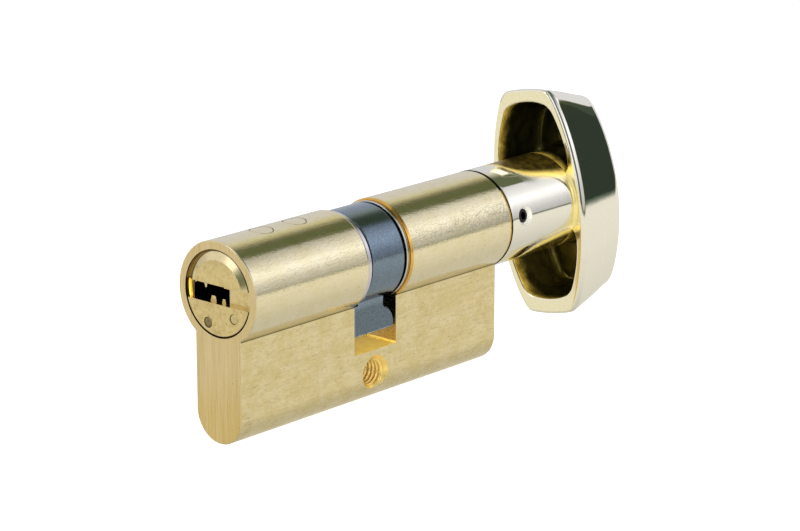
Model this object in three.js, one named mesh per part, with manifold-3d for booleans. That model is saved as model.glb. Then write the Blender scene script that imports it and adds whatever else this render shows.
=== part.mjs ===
// Euro-profile door cylinder, keyed on one side and with a thumbturn on the other.
// Millimetres. X runs along the plug axis (-X keyed face, +X thumbturn), +Z up, the web hangs
// towards -Z. The pieces are drawn from the plug axis, in the plane of the cam and the
// fixing-screw hole; the group then puts the origin under the middle of the whole length,
// level with the lowest line of the web.
import * as THREE from 'three';
import * as BufferGeometryUtils from 'three/addons/utils/BufferGeometryUtils.js';
import Module from 'manifold-3d';

const wasm = await Module();
wasm.setup();

// ---------------------------------------------------------------- shared dimensions
const FRONT_X = -31.0;           // keyed face
const REAR_X = 30.6;             // thumbturn face of the housing
const WEB_BOTTOM_Z = -24.5;
const WEB_HALF = 5.0;            // half the web's thickness

// plug and rotor: both turn in the housing bore and end in a nose with a circlip groove
const PLUG_R = 6.87;
const NOSE_R = 6.4;
const NOSE_END_X = 1.15;         // distances from the screw plane, to either side
const GROOVE_R = 5.95;
const GROOVE_X0 = 4.2;
const GROOVE_X1 = 5.0;

// pin chambers, bored up through the web
const CHAMBER_R = 1.45;
const CHAMBER_PITCH = 3.75;
const CHAMBER_X = [0, 1, 2, 3, 4].map((i) => -25.05 + i * CHAMBER_PITCH);
const FRICTION_X = 16.0;
const CHAMBER_MOUTH_Z = -22.6;   // upper end of the plugs that close the chambers

const COUPLER_HALF_Y = 1.5;
const COUPLER_HALF_Z = 6.2;
const COUPLER_SLOT_X0 = 1.0;     // slots in plug and rotor, from the screw plane
const COUPLER_SLOT_X1 = 3.45;
const COUPLER_SLOT_HALF_Y = COUPLER_HALF_Y + 0.1;

const HEAD_X0 = 48.1;            // knob head, inner edge
const HEAD_X1 = 60.5;            // knob head, outer face
const SPIGOT_R = 5.0;            // end of the rotor, inside the knob's stem
const SPIGOT_X1 = 43.0;
const GRUB_X = 34.4;
const KNOB_TURN = THREE.MathUtils.degToRad(-9.5);   // how the grub screw sets knob on rotor

const PRESS_GAP = 0.02;          // radial gap around pressed-in pieces
const OVERCUT = 1;               // how far cutting tools run past a face
const PLUG_CLEAR = 8;            // any reach from the axis beyond the plug

// segments round a turned piece
const BARREL_SEGMENTS = 48;
const HOLE_SEGMENTS = 24;
const GRUB_SEGMENTS = 20;
const PIN_SEGMENTS = 16;

// ---------------------------------------------------------------- mesh and solid helpers
// Merges vertices, drops collapsed triangles and turns the faces outwards.
function clean(source) {
  source.deleteAttribute('normal');
  source.deleteAttribute('uv');
  const geometry = BufferGeometryUtils.mergeVertices(source, 1e-4);
  const position = geometry.attributes.position;
  const index = geometry.index.array;
  const corners = [new THREE.Vector3(), new THREE.Vector3(), new THREE.Vector3()];
  const keep = [];
  let volume = 0;
  for (let i = 0; i < index.length; i += 3) {
    const triangle = [index[i], index[i + 1], index[i + 2]];
    if (new Set(triangle).size < 3) continue;
    keep.push(...triangle);
    corners.forEach((corner, k) => corner.fromBufferAttribute(position, triangle[k]));
    volume += corners[0].dot(corners[1].cross(corners[2]));
  }
  if (volume < 0) {
    for (let i = 0; i < keep.length; i += 3) {
      [keep[i + 1], keep[i + 2]] = [keep[i + 2], keep[i + 1]];
    }
  }
  geometry.setIndex(keep);
  return geometry;
}

function solid(source) {
  const geometry = clean(source);
  return new wasm.Manifold(new wasm.Mesh({
    numProp: 3,
    vertProperties: new Float32Array(geometry.attributes.position.array),
    triVerts: new Uint32Array(geometry.index.array),
  }));
}

// Subtracts each tool geometry in turn from a solid.
function cut(body, ...tools) {
  return tools.reduce((rest, tool) => rest.subtract(solid(tool)), body);
}

// Turns a solid back into a three.js geometry.
function shell(manifold) {
  const mesh = manifold.getMesh();
  const geometry = new THREE.BufferGeometry();
  const positions = new Float32Array(mesh.vertProperties);
  geometry.setAttribute('position', new THREE.BufferAttribute(positions, 3));
  geometry.setIndex(Array.from(mesh.triVerts));
  return geometry;
}

// ---------------------------------------------------------------- shape helpers
// Turned pieces: profiles of (radius, position along the axis).
function turnedY(profile, segments) {
  return new THREE.LatheGeometry(profile.map(([r, h]) => new THREE.Vector2(r, h)), segments);
}
const turnedX = (profile, segments) => turnedY(profile, segments).rotateZ(-Math.PI / 2);
const turnedZ = (profile, segments) => turnedY(profile, segments).rotateX(Math.PI / 2);

const rodProfile = (radius, from, to) => [[0, from], [radius, from], [radius, to], [0, to]];
function rodX(radius, from, to, segments = BARREL_SEGMENTS) {
  return turnedX(rodProfile(radius, from, to), segments);
}
function rodZ(radius, from, to, segments = PIN_SEGMENTS) {
  return turnedZ(rodProfile(radius, from, to), segments);
}

function block([x0, x1], [y0, y1], [z0, z1]) {
  return new THREE.BoxGeometry(x1 - x0, y1 - y0, z1 - z0)
    .translate((x0 + x1) / 2, (y0 + y1) / 2, (z0 + z1) / 2);
}

function extrude(points, depth) {
  const shape = new THREE.Shape(points.map(([u, v]) => new THREE.Vector2(u, v)));
  return new THREE.ExtrudeGeometry(shape, { depth, bevelEnabled: false });
}
const basis = (...axes) => {
  return new THREE.Matrix4().makeBasis(...axes.map((axis) => new THREE.Vector3(...axis)));
};

// An outline in (y, z), extruded along X.
const YZ_TO_X = basis([0, 1, 0], [0, 0, 1], [1, 0, 0]);
function sectionX(points, x0, x1) {
  return extrude(points, x1 - x0).translate(0, 0, x0).applyMatrix4(YZ_TO_X);
}

// An outline in (x, z), extruded along Y.
const XZ_TO_Y = basis([1, 0, 0], [0, 0, 1], [0, -1, 0]);
function sectionY(points, y0, y1) {
  return extrude(points, y1 - y0).translate(0, 0, -y1).applyMatrix4(XZ_TO_Y);
}

// Points on an arc round the axis, with both ends.
function arc(radius, start, sweep, steps, centreZ = 0) {
  return Array.from({ length: steps + 1 }, (_, i) => {
    const angle = start + sweep * i / steps;
    return [radius * Math.cos(angle), centreZ + radius * Math.sin(angle)];
  });
}

// Scales y and z of every vertex by the pair that scaleAt gives for its x.
function scaleAlongX(geometry, scaleAt) {
  const position = geometry.attributes.position;
  for (let i = 0; i < position.count; i++) {
    const [scaleY, scaleZ] = scaleAt(position.getX(i));
    position.setY(i, position.getY(i) * scaleY);
    position.setZ(i, position.getZ(i) * scaleZ);
  }
  return geometry;
}

class Helix extends THREE.Curve {
  constructor(radius, z0, z1, turns) {
    super();
    Object.assign(this, { radius, z0, z1, turns });
  }

  getPoint(t, out = new THREE.Vector3()) {
    const angle = 2 * Math.PI * this.turns * t;
    const z = this.z0 + (this.z1 - this.z0) * t;
    return out.set(this.radius * Math.cos(angle), this.radius * Math.sin(angle), z);
  }
}

// A coil along Z in wire of four-sided section; z0 and z1 are its overall ends.
function spring({ radius, wireR, z0, z1, turns }) {
  const ring = [0, 1, 2, 3].map((i) => {
    const angle = i * 0.5 * Math.PI;
    return new THREE.Vector2(wireR * Math.cos(angle), wireR * Math.sin(angle));
  });
  return new THREE.ExtrudeGeometry(new THREE.Shape(ring), {
    steps: Math.round(turns * 8),
    bevelEnabled: false,
    extrudePath: new Helix(radius, z0 + wireR, z1 - wireR, turns),
  });
}

// ---------------------------------------------------------------- finishes
const metal = (parameters) => new THREE.MeshStandardMaterial(parameters);
const bodyBrass = metal({ color: 0xd2bf7e, roughness: 0.34, metalness: 1.0 });
const plugBrass = metal({ color: 0xcdb878, roughness: 0.32, metalness: 1.0 });
const knobBrass = metal({ color: 0xd8c892, roughness: 0.12, metalness: 1.0 });
const pinBrass = metal({ color: 0xc9a64e, roughness: 0.3, metalness: 1.0 });
const sintered = metal({ color: 0x6d7884, roughness: 0.5, metalness: 0.9 });
const steel = metal({ color: 0xb9bbbd, roughness: 0.28, metalness: 1.0 });
const springWire = metal({ color: 0xa8abb0, roughness: 0.25, metalness: 1.0 });
const hardened = metal({ color: 0x6b675c, roughness: 0.4, metalness: 0.9 });
const blackOxide = metal({ color: 0x1d1d1e, roughness: 0.45, metalness: 0.7 });

// ---------------------------------------------------------------- housing
const BARREL_R = 8.5;
const BORE_R = 6.95;
const SLOT_HALF = 5.04;          // cam slot, half its width along X
const SLOT_FLOOR_Z = -15.1;
const SLOT_REACH = 10;           // slot tool, beyond the barrel
const BORE_OVERLAP = 0.5;        // how far the bores run into the slot
const CHAMBER_TOP_Z = -6;        // inside the bore
const SCREW_HOLE_Z = -19.2;      // M5 fixing screw
// (radius, y), countersunk at both web faces
const SCREW_HOLE = [
  [0, -6], [3.8, -6], [3.05, -WEB_HALF], [2.3, -4.25],
  [2.3, 4.25], [3.05, WEB_HALF], [3.8, 6], [0, 6],
];
const TOP_PLUG_X = [CHAMBER_X[1], CHAMBER_X[3]];
const TOP_PLUG_Y = -0.2;
const TOP_PLUG_R = 1.87;
const TOP_PLUG_Z0 = 7.02;
const TOP_HOLE_Z0 = 5;
const TOP_PLUG_Z1 = 9;           // above the barrel

// Barrel with a web of the same outline all along, rounded at the bottom.
function housingBlank() {
  const start = Math.atan2(-Math.sqrt(BARREL_R ** 2 - WEB_HALF ** 2), WEB_HALF);
  const outline = [
    ...arc(BARREL_R, start, Math.PI - 2 * start, 42),
    ...arc(WEB_HALF, Math.PI, Math.PI, 18, WEB_BOTTOM_Z + WEB_HALF),
  ];
  return solid(sectionX(outline, FRONT_X, REAR_X));
}

function chamberRod(x, radius, topZ) {
  return rodZ(radius, WEB_BOTTOM_Z - OVERCUT, topZ).translate(x, 0, 0);
}

function topRod(x, radius, bottomZ) {
  return rodZ(radius, bottomZ, TOP_PLUG_Z1, HOLE_SEGMENTS).translate(x, TOP_PLUG_Y, 0);
}

function housing() {
  return cut(
    housingBlank(),
    rodX(BORE_R, FRONT_X - OVERCUT, -SLOT_HALF + BORE_OVERLAP),
    rodX(BORE_R, SLOT_HALF - BORE_OVERLAP, REAR_X + OVERCUT),
    block([-SLOT_HALF, SLOT_HALF], [-SLOT_REACH, SLOT_REACH], [SLOT_FLOOR_Z, SLOT_REACH]),
    turnedY(SCREW_HOLE, HOLE_SEGMENTS).translate(0, 0, SCREW_HOLE_Z),
    ...[...CHAMBER_X, FRICTION_X].map((x) => chamberRod(x, CHAMBER_R, CHAMBER_TOP_Z)),
    ...TOP_PLUG_X.map((x) => topRod(x, TOP_PLUG_R + PRESS_GAP, TOP_HOLE_Z0)),
  );
}

// Chamber plugs are pressed in and dressed flush with the profile.
const topPlug = (x) => solid(topRod(x, TOP_PLUG_R, TOP_PLUG_Z0)).intersect(housingBlank());
function bottomPlug(x) {
  return solid(chamberRod(x, CHAMBER_R - PRESS_GAP, CHAMBER_MOUTH_Z)).intersect(housingBlank());
}

// ---------------------------------------------------------------- pins and their springs
const PIN_R = 1.28;
const PIN_EDGE = 0.15;           // chamfer where key pin and driver meet
const TIP_R = 0.78;
const PIN_TIP_Z = [-1.05, -0.7, -1.3, -0.85, -1.15];   // set by the cuts of the key
const SHEAR_KEY_Z = -6.7;        // lower ends of the key pins
const SHEAR_DRIVER_Z = -6.98;    // upper ends of the drivers
const DRIVER_BOTTOM_Z = SHEAR_DRIVER_Z - 6.0;
const FRICTION_BOTTOM_Z = -11.5;

function keyPin(tipZ) {
  return turnedZ([
    [0, SHEAR_KEY_Z], [PIN_R - 0.2, SHEAR_KEY_Z], [PIN_R, SHEAR_KEY_Z + PIN_EDGE],
    [PIN_R, -3.9], [TIP_R, -3.55], [TIP_R, tipZ - 0.45], [0.3, tipZ], [0, tipZ],
  ], PIN_SEGMENTS);
}

// The narrow foot that stands inside the spring, up to its shoulder.
function pinFoot(z) {
  return [[0, z], [0.7, z], [0.75, z + 0.9], [PIN_R, z + 0.9]];
}

function driverPin(waisted) {
  const bottom = DRIVER_BOTTOM_Z;
  const top = SHEAR_DRIVER_Z;
  const waist = [
    [PIN_R, bottom + 1.9], [0.95, bottom + 2.3], [0.95, top - 1.5], [PIN_R, top - 1.1],
  ];
  return turnedZ([
    ...pinFoot(bottom), ...(waisted ? waist : []),
    [PIN_R, top - PIN_EDGE], [PIN_R - PIN_EDGE, top], [0, top],
  ], PIN_SEGMENTS);
}

// A short sprung pin that rubs on the thumbturn rotor, so that the knob stays where it is left.
function frictionPin() {
  const nose = [[PIN_R, -7.5], [0.9, -7.05], [0, -6.97]];
  return turnedZ([...pinFoot(FRICTION_BOTTOM_Z), ...nose], PIN_SEGMENTS);
}

// From the chamber's plug to just under the shoulder of the pin above.
function chamberSpring(pinBottomZ) {
  const z0 = CHAMBER_MOUTH_Z + 0.03;
  return spring({ radius: 1.12, wireR: 0.16, z0, z1: pinBottomZ + 0.86, turns: 6 });
}

// ---------------------------------------------------------------- keyed plug
const FACE_RECESS = 1.0;         // slot milled across the plug face
const KEYWAY_LOW = -1.65;
const KEYWAY_HIGH = 1.35;
// warded keyway for a wide flat key, (y, z)
const KEYWAY = [
  [-1.73, KEYWAY_LOW], [-0.87, KEYWAY_LOW], [-0.72, -0.95], [-0.2, -0.95],
  [-0.02, KEYWAY_LOW], [1.2, KEYWAY_LOW], [1.4, -0.78], [2.2, -0.78],
  [2.5, KEYWAY_LOW], [6.15, KEYWAY_LOW], [6.15, KEYWAY_HIGH], [5.95, KEYWAY_HIGH],
  [5.85, 0.75], [5.6, 0.75], [5.5, KEYWAY_HIGH], [3.95, KEYWAY_HIGH],
  [3.65, 0.27], [3.35, 0.27], [3.1, KEYWAY_HIGH], [-0.35, KEYWAY_HIGH],
  [-0.5, 0.8], [-1.73, 0.8],
];
const KEYWAY_END_X = -6.0;
const PIN_HOLE_R = 1.35;
const TIP_HOLE_R = 0.88;
// (radius, z)
const PIN_HOLE = [
  [0, -PLUG_CLEAR], [PIN_HOLE_R, -PLUG_CLEAR], [PIN_HOLE_R, -2.3],
  [TIP_HOLE_R, -2.3], [TIP_HOLE_R, -0.8], [0, -0.8],
];
// ring that cones the face back towards its edge, (radius, x)
const FACE_CONE = [
  [5.4, FRONT_X], [7.4, FRONT_X + 0.72], [7.4, FRONT_X - 0.4], [5.4, FRONT_X - 0.4],
  [5.4, FRONT_X],
];
const DRILL_PINS = [
  { y: 2.14, z: -4.95, radius: 0.85 },
  { y: -3.44, z: -3.45, radius: 0.78 },
];

function keyPlug() {
  const across = [-PLUG_CLEAR, PLUG_CLEAR];
  const slotY = [-COUPLER_SLOT_HALF_Y, COUPLER_SLOT_HALF_Y];
  const blank = solid(turnedX([
    [0, FRONT_X], [PLUG_R, FRONT_X], [PLUG_R, -GROOVE_X1], [GROOVE_R, -GROOVE_X1],
    [GROOVE_R, -GROOVE_X0], [NOSE_R, -GROOVE_X0], [NOSE_R, -NOSE_END_X], [0, -NOSE_END_X],
  ], BARREL_SEGMENTS));
  // only the part of the face above the keyway is coned
  const cone = solid(turnedX(FACE_CONE, BARREL_SEGMENTS))
    .intersect(solid(block([FRONT_X - 1, FRONT_X + 1], across, [KEYWAY_HIGH, PLUG_CLEAR])));
  const faceX = [FRONT_X - OVERCUT, FRONT_X + FACE_RECESS];
  return cut(
    blank.subtract(cone),
    block(faceX, across, [KEYWAY_LOW, KEYWAY_HIGH]),
    sectionX(KEYWAY, FRONT_X + FACE_RECESS - 0.5, KEYWAY_END_X),
    // pocket from the keyway to the coupler slot
    block([-6.5, -3.0], [-1.7, 3.0], [-1.6, 0.75]),
    block([-COUPLER_SLOT_X1, -COUPLER_SLOT_X0], slotY, across),
    ...CHAMBER_X.map((x) => turnedZ(PIN_HOLE, PIN_SEGMENTS).translate(x, 0, 0)),
    ...DRILL_PINS.map(({ y, z, radius }) => {
      return rodX(radius + PRESS_GAP, FRONT_X - OVERCUT, FRONT_X + 4.1, PIN_SEGMENTS)
        .translate(0, y, z);
    }),
  );
}

const drillPin = (radius) => rodX(radius, FRONT_X + 0.05, FRONT_X + 4.0, PIN_SEGMENTS);

// ---------------------------------------------------------------- circlips
const CLIP_R_IN = 6.0;
const CLIP_R_OUT = 8.2;
const CLIP_X0 = 4.24;
const CLIP_X1 = 4.97;
const CLIP_GAP_MIDDLE = 0.2;     // radians from +Y towards +Z
const CLIP_GAP_HALF = THREE.MathUtils.degToRad(26);

function circlip(x0, x1) {
  const edge = (radius) => {
    return arc(radius, CLIP_GAP_MIDDLE + CLIP_GAP_HALF, 2 * Math.PI - 2 * CLIP_GAP_HALF, 32);
  };
  return sectionX([...edge(CLIP_R_OUT), ...edge(CLIP_R_IN).reverse()], x0, x1);
}

// ---------------------------------------------------------------- cam and couplers
const CAM_HALF = 3.8;
const CAM_R = 7.95;
const CAM_BORE_R = 4.6;
const CAM_RECESS_R = 6.5;
const CAM_WALL_HALF = 1.1;       // wall left between the two recesses
const LUG_HALF_Y = 4.7;
const LUG_HOLLOW_R = 8.45;
// (x, z)
const LUG = [
  [-4.7, -5.6], [-4.7, -12.05], [-4.45, -12.3], [4.65, -12.3], [4.9, -12.05], [4.9, -11.2],
  [4.6, -10.2], [4.05, -9.35], [3.3, -8.65], [2.4, -8.2], [2.4, -5.6],
];
const COUPLER_T = 2.0;
const COUPLER_CHAMFER = 0.35;
const KEY_COUPLER_X0 = -3.2;
const THUMBTURN_COUPLER_X0 = -1.0;

// The lug hangs between the two web walls; its shoulder on the thumbturn side is cut away.
function cam() {
  const lug = cut(
    solid(sectionY(LUG, -LUG_HALF_Y, LUG_HALF_Y)),
    rodX(LUG_HOLLOW_R, -6, -CAM_HALF),
    rodX(LUG_HOLLOW_R, CAM_HALF, 6),
  );
  const slotHalfY = COUPLER_HALF_Y + 0.2;
  const slotHalfZ = COUPLER_HALF_Z + 0.2;
  return cut(
    solid(rodX(CAM_R, -CAM_HALF, CAM_HALF)).add(lug),
    rodX(CAM_BORE_R, -5, 5),
    rodX(CAM_RECESS_R, -5, -CAM_WALL_HALF),
    rodX(CAM_RECESS_R, CAM_WALL_HALF, 5),
    block([-1.5, 1.5], [-slotHalfY, slotHalfY], [-slotHalfZ, slotHalfZ]),
  );
}

function couplerPlate(x0) {
  const y = COUPLER_HALF_Y;
  const z = COUPLER_HALF_Z;
  const innerY = y - COUPLER_CHAMFER;
  const innerZ = z - COUPLER_CHAMFER;
  return sectionX([
    [-y, -innerZ], [-innerY, -z], [innerY, -z], [y, -innerZ],
    [y, innerZ], [innerY, z], [-innerY, z], [-y, innerZ],
  ], x0, x0 + COUPLER_T);
}

// A plate with a small round stud on its thumbturn side.
function thumbturnCoupler() {
  return solid(couplerPlate(THUMBTURN_COUPLER_X0)).add(solid(rodX(0.75, 0.5, 2.0, PIN_SEGMENTS)));
}

// ---------------------------------------------------------------- thumbturn rotor
const SHOULDER_X = REAR_X + 0.1;
const SPIGOT_CHAMFER = 0.4;

function rotor() {
  const across = [-PLUG_CLEAR, PLUG_CLEAR];
  const slotY = [-COUPLER_SLOT_HALF_Y, COUPLER_SLOT_HALF_Y];
  const blank = solid(turnedX([
    [0, NOSE_END_X], [NOSE_R, NOSE_END_X], [NOSE_R, GROOVE_X0], [GROOVE_R, GROOVE_X0],
    [GROOVE_R, GROOVE_X1], [PLUG_R, GROOVE_X1], [PLUG_R, SHOULDER_X], [SPIGOT_R, SHOULDER_X],
    [SPIGOT_R, SPIGOT_X1 - SPIGOT_CHAMFER], [SPIGOT_R - SPIGOT_CHAMFER, SPIGOT_X1],
    [0, SPIGOT_X1],
  ], BARREL_SEGMENTS));
  return cut(
    blank,
    block([COUPLER_SLOT_X0, COUPLER_SLOT_X1], slotY, across),
    // bore for the coupler spring
    rodX(1.5, 3.0, 12.0, HOLE_SEGMENTS),
    // flat under the grub screw
    block([GRUB_X - 2.2, GRUB_X + 2.2], [-PLUG_CLEAR, -4.2], across).rotateX(KNOB_TURN),
  );
}

// ---------------------------------------------------------------- knob
const STEM_R = 8.55;
const STEM_X0 = 30.9;
const POCKET_X1 = 57.4;
const POCKET_SCALE = [0.94, 0.9];   // y and z, inside the head
// upper quarter of the head at its widest, (half width y, height z)
const RIM = [
  [9.95, 0], [9.76, 4.24], [9.16, 8.58], [8.53, 11.49], [7.79, 14.1],
  [6.97, 16.35], [6.3, 17.77], [5.53, 18.86], [4.53, 19.52], [2.32, 19.78],
];
const RIM_TOP_Z = 19.86;
// half of the upper pocket, (half width y, height z)
const POCKET = [
  [7.6, 6.5], [7.58, 7.5], [7.4, 9.2], [6.9, 11.4], [6.2, 13.5],
  [5.5, 15.2], [4.9, 16.1], [3.85, 16.9], [2.0, 17.4],
];
const POCKET_TOP_Z = 17.55;
// The head tapers from the rim to its outer face and both edges are rolled over:
// (x, scale of y, scale of z)
const STATIONS = [
  [HEAD_X0, 0.91, 0.975], [48.22, 0.955, 0.987], [48.45, 0.983, 0.996], [48.95, 1.0, 1.0],
  [59.0, 0.954, 0.863], [59.6, 0.941, 0.857], [60.15, 0.905, 0.839], [HEAD_X1, 0.83, 0.8],
];

// Mirrors a half outline across y = 0, with a point on top between the halves.
function arch(half, topZ) {
  return [...half, [0, topZ], ...[...half].reverse().map(([y, z]) => [-y, z])];
}
const halfTurn = (points) => points.map(([y, z]) => [-y, -z]);

function headScale(vertexX) {
  const x = Math.max(HEAD_X0, Math.min(HEAD_X1, vertexX));
  let k = 0;
  while (k < STATIONS.length - 2 && x > STATIONS[k + 1][0]) k++;
  const [xa, ya, za] = STATIONS[k];
  const [xb, yb, zb] = STATIONS[k + 1];
  const t = (x - xa) / (xb - xa);
  return [ya + (yb - ya) * t, za + (zb - za) * t];
}

function head() {
  const upper = arch(RIM, RIM_TOP_Z);
  const outline = [...upper, ...halfTurn(upper.slice(1, -1))];
  return STATIONS.slice(1)
    .map(([x], k) => solid(scaleAlongX(sectionX(outline, STATIONS[k][0], x), headScale)))
    .reduce((whole, slab) => whole.add(slab));
}

// A pocket open towards the housing, narrowing into the head.
function pocket(outline) {
  return scaleAlongX(
    sectionX(outline, HEAD_X0 - 0.5, POCKET_X1),
    (x) => (x > HEAD_X0 ? POCKET_SCALE : [1, 1]),
  );
}

// Places a piece turned about Y at the grub screw, pointing towards -Y.
const atGrub = (geometry) => geometry.rotateX(Math.PI).translate(GRUB_X, 0, 0);

function knob() {
  const upperPocket = arch(POCKET, POCKET_TOP_Z);
  // (radius, distance from the axis)
  const grubHole = [[0, 4], [1.52, 4], [1.52, 8.0], [1.86, 8.3], [1.86, 9.5], [0, 9.5]];
  return cut(
    cut(head(), pocket(upperPocket), pocket(halfTurn(upperPocket)))
      .add(solid(rodX(STEM_R, STEM_X0, HEAD_X1 - 1.5))),
    rodX(SPIGOT_R + 0.06, STEM_X0 - OVERCUT, SPIGOT_X1 + 0.3),
    atGrub(turnedY(grubHole, GRUB_SEGMENTS)),
  );
}

// M3 grub screw with a hexagon socket
function grubScrew() {
  const end = 7.9;
  const socketR = 0.866;         // to the corners
  const profile = [[0, 4.5], [1.1, 4.5], [1.45, 4.85], [1.45, 7.7], [1.25, end], [0, end]];
  const socket = new THREE.CylinderGeometry(socketR, socketR, 3, 6).translate(0, end, 0);
  return atGrub(shell(cut(solid(turnedY(profile, GRUB_SEGMENTS)), socket)));
}

// ---------------------------------------------------------------- assembly
const cylinder = new THREE.Group();
function add(parent, name, geometry, material) {
  const mesh = new THREE.Mesh(clean(geometry), material);
  mesh.name = name;
  parent.add(mesh);
  return mesh;
}

add(cylinder, 'housing', shell(housing()), bodyBrass);
TOP_PLUG_X.forEach((x, i) => {
  add(cylinder, `top_chamber_plug_${i + 1}`, shell(topPlug(x)), bodyBrass);
});
CHAMBER_X.forEach((x, i) => {
  add(cylinder, `bottom_chamber_plug_${i + 1}`, shell(bottomPlug(x)), bodyBrass);
});
add(cylinder, 'friction_chamber_plug', shell(bottomPlug(FRICTION_X)), bodyBrass);

// Plain and waisted drivers alternate.
CHAMBER_X.forEach((x, i) => {
  const pieces = [
    add(cylinder, `key_pin_${i + 1}`, keyPin(PIN_TIP_Z[i]), pinBrass),
    add(cylinder, `driver_pin_${i + 1}`, driverPin(i % 2 === 0), steel),
    add(cylinder, `driver_spring_${i + 1}`, chamberSpring(DRIVER_BOTTOM_Z), springWire),
  ];
  for (const piece of pieces) piece.position.x = x;
});
add(cylinder, 'friction_pin', frictionPin(), pinBrass).position.x = FRICTION_X;
add(cylinder, 'friction_spring', chamberSpring(FRICTION_BOTTOM_Z), springWire)
  .position.x = FRICTION_X;

add(cylinder, 'key_plug', shell(keyPlug()), plugBrass);
DRILL_PINS.forEach(({ y, z, radius }, i) => {
  add(cylinder, `plug_drill_pin_${i + 1}`, drillPin(radius), hardened).position.set(0, y, z);
});
add(cylinder, 'front_circlip', circlip(-CLIP_X1, -CLIP_X0), steel);
add(cylinder, 'rear_circlip', circlip(CLIP_X0, CLIP_X1), steel);

add(cylinder, 'cam', shell(cam()), sintered);
add(cylinder, 'key_coupler', couplerPlate(KEY_COUPLER_X0), steel);
add(cylinder, 'thumbturn_coupler', shell(thumbturnCoupler()), steel);
const couplerCoil = spring({ radius: 1.1, wireR: 0.17, z0: 0, z1: 10.7, turns: 8 });
const couplerSpring = add(cylinder, 'coupler_spring', couplerCoil, springWire);
couplerSpring.rotation.y = Math.PI / 2;
couplerSpring.position.x = 1.1;

add(cylinder, 'thumbturn_rotor', shell(rotor()), plugBrass);
const thumbturn = new THREE.Group();
thumbturn.rotation.x = KNOB_TURN;
cylinder.add(thumbturn);
add(thumbturn, 'knob', shell(knob()), knobBrass);
add(thumbturn, 'knob_grub_screw', grubScrew(), blackOxide);

cylinder.position.set(-(FRONT_X + HEAD_X1) / 2, 0, -WEB_BOTTOM_Z);

export default cylinder;
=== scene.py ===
import math

import bmesh
import bpy
import numpy as np
from mathutils import Matrix, Vector


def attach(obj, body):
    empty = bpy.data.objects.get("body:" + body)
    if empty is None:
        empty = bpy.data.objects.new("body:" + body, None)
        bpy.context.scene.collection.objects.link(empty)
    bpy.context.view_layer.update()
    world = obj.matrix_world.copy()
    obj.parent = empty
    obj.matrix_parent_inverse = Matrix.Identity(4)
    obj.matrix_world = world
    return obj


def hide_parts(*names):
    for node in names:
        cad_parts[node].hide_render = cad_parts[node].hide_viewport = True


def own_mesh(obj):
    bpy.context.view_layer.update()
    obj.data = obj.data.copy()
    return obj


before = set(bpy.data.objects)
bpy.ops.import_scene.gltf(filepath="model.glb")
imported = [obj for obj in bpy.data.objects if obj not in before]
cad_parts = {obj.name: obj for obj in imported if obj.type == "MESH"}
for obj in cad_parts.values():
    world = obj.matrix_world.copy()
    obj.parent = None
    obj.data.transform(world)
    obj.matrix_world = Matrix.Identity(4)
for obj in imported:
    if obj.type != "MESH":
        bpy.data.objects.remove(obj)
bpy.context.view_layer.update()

MM = 0.001
PI = math.pi

# ------------------------------------------------------------------ sizes, mm
BARREL_R, WEB, BOTTOM = 8.5, 5.0, -24.5
FRONT, REAR = -31.0, 30.6
SLOT, SLOT_FLOOR = 5.04, -15.1
BORE, PLUG = 6.95, 6.87
SCREW_Z = -19.2
CHAMBERS = [-25.05, -21.3, -17.55, -13.8, -10.05]
TOP_X, TOP_Y, TOP_R = [-21.3, -13.8], -0.2, 1.87
FRICTION_X = 16.0
KNOB_TURN = math.radians(-9.5)
# sizes are written from the plug axis in the screw's plane; the row's own origin is under the middle, at the web's lowest line
SHIFT = Vector((-14.75, 0.0, 24.5))
PLACE = Matrix.Translation(SHIFT * MM) @ Matrix.Scale(MM, 4)


# ------------------------------------------------------------------ mesh helpers (all in mm)
def new_obj(name, verts, faces, smooth=None):
    me = bpy.data.meshes.new(name)
    me.from_pydata([tuple(v) for v in verts], [], [tuple(f) for f in faces])
    me.update()
    ob = bpy.data.objects.new(name, me)
    bpy.context.scene.collection.objects.link(ob)
    bm = bmesh.new()
    bm.from_mesh(me)
    bmesh.ops.remove_doubles(bm, verts=bm.verts, dist=1e-5)
    bmesh.ops.recalc_face_normals(bm, faces=bm.faces)
    bm.to_mesh(me)
    bm.free()
    return ob


def axis_map(axis):
    if axis == "x":
        return lambda a, b, h: (h, a, b)
    if axis == "y":
        return lambda a, b, h: (b, h, a)
    return lambda a, b, h: (a, b, h)


def lathe(name, profile, axis="x", n=160, at=(0, 0, 0), phase=0.0):
    """Turned solid. profile holds (radius, height), starting and ending on the axis, or closing on itself."""
    put = axis_map(axis)
    closed = profile[0][0] > 1e-9 or profile[-1][0] > 1e-9
    verts, rings = [], []
    for r, h in profile:
        if r < 1e-9:
            rings.append([len(verts)])
            verts.append(put(0, 0, h))
        else:
            ring = []
            for i in range(n):
                a = 2 * PI * i / n + phase
                ring.append(len(verts))
                verts.append(put(r * math.cos(a), r * math.sin(a), h))
            rings.append(ring)
    faces = []
    pairs = list(zip(rings, rings[1:]))
    if closed:
        pairs.append((rings[-1], rings[0]))
    for A, B in pairs:
        if len(A) == 1 and len(B) == 1:
            continue
        for i in range(n):
            j = (i + 1) % n
            if len(A) == 1:
                faces.append((A[0], B[i], B[j]))
            elif len(B) == 1:
                faces.append((A[i], B[0], A[j]))
            else:
                faces.append((A[i], B[i], B[j], A[j]))
    verts = [(v[0] + at[0], v[1] + at[1], v[2] + at[2]) for v in verts]
    return new_obj(name, verts, faces)


def loft(name, rings, cap=True):
    """rings: lists of 3-D points with the same count, each a closed outline."""
    n = len(rings[0])
    verts = [p for r in rings for p in r]
    faces = []
    for k in range(len(rings) - 1):
        a, b = k * n, (k + 1) * n
        for i in range(n):
            j = (i + 1) % n
            faces.append((a + i, b + i, b + j, a + j))
    if cap:
        faces.append(tuple(range(n)))
        faces.append(tuple((len(rings) - 1) * n + i for i in range(n)))
    return new_obj(name, verts, faces)


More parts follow.
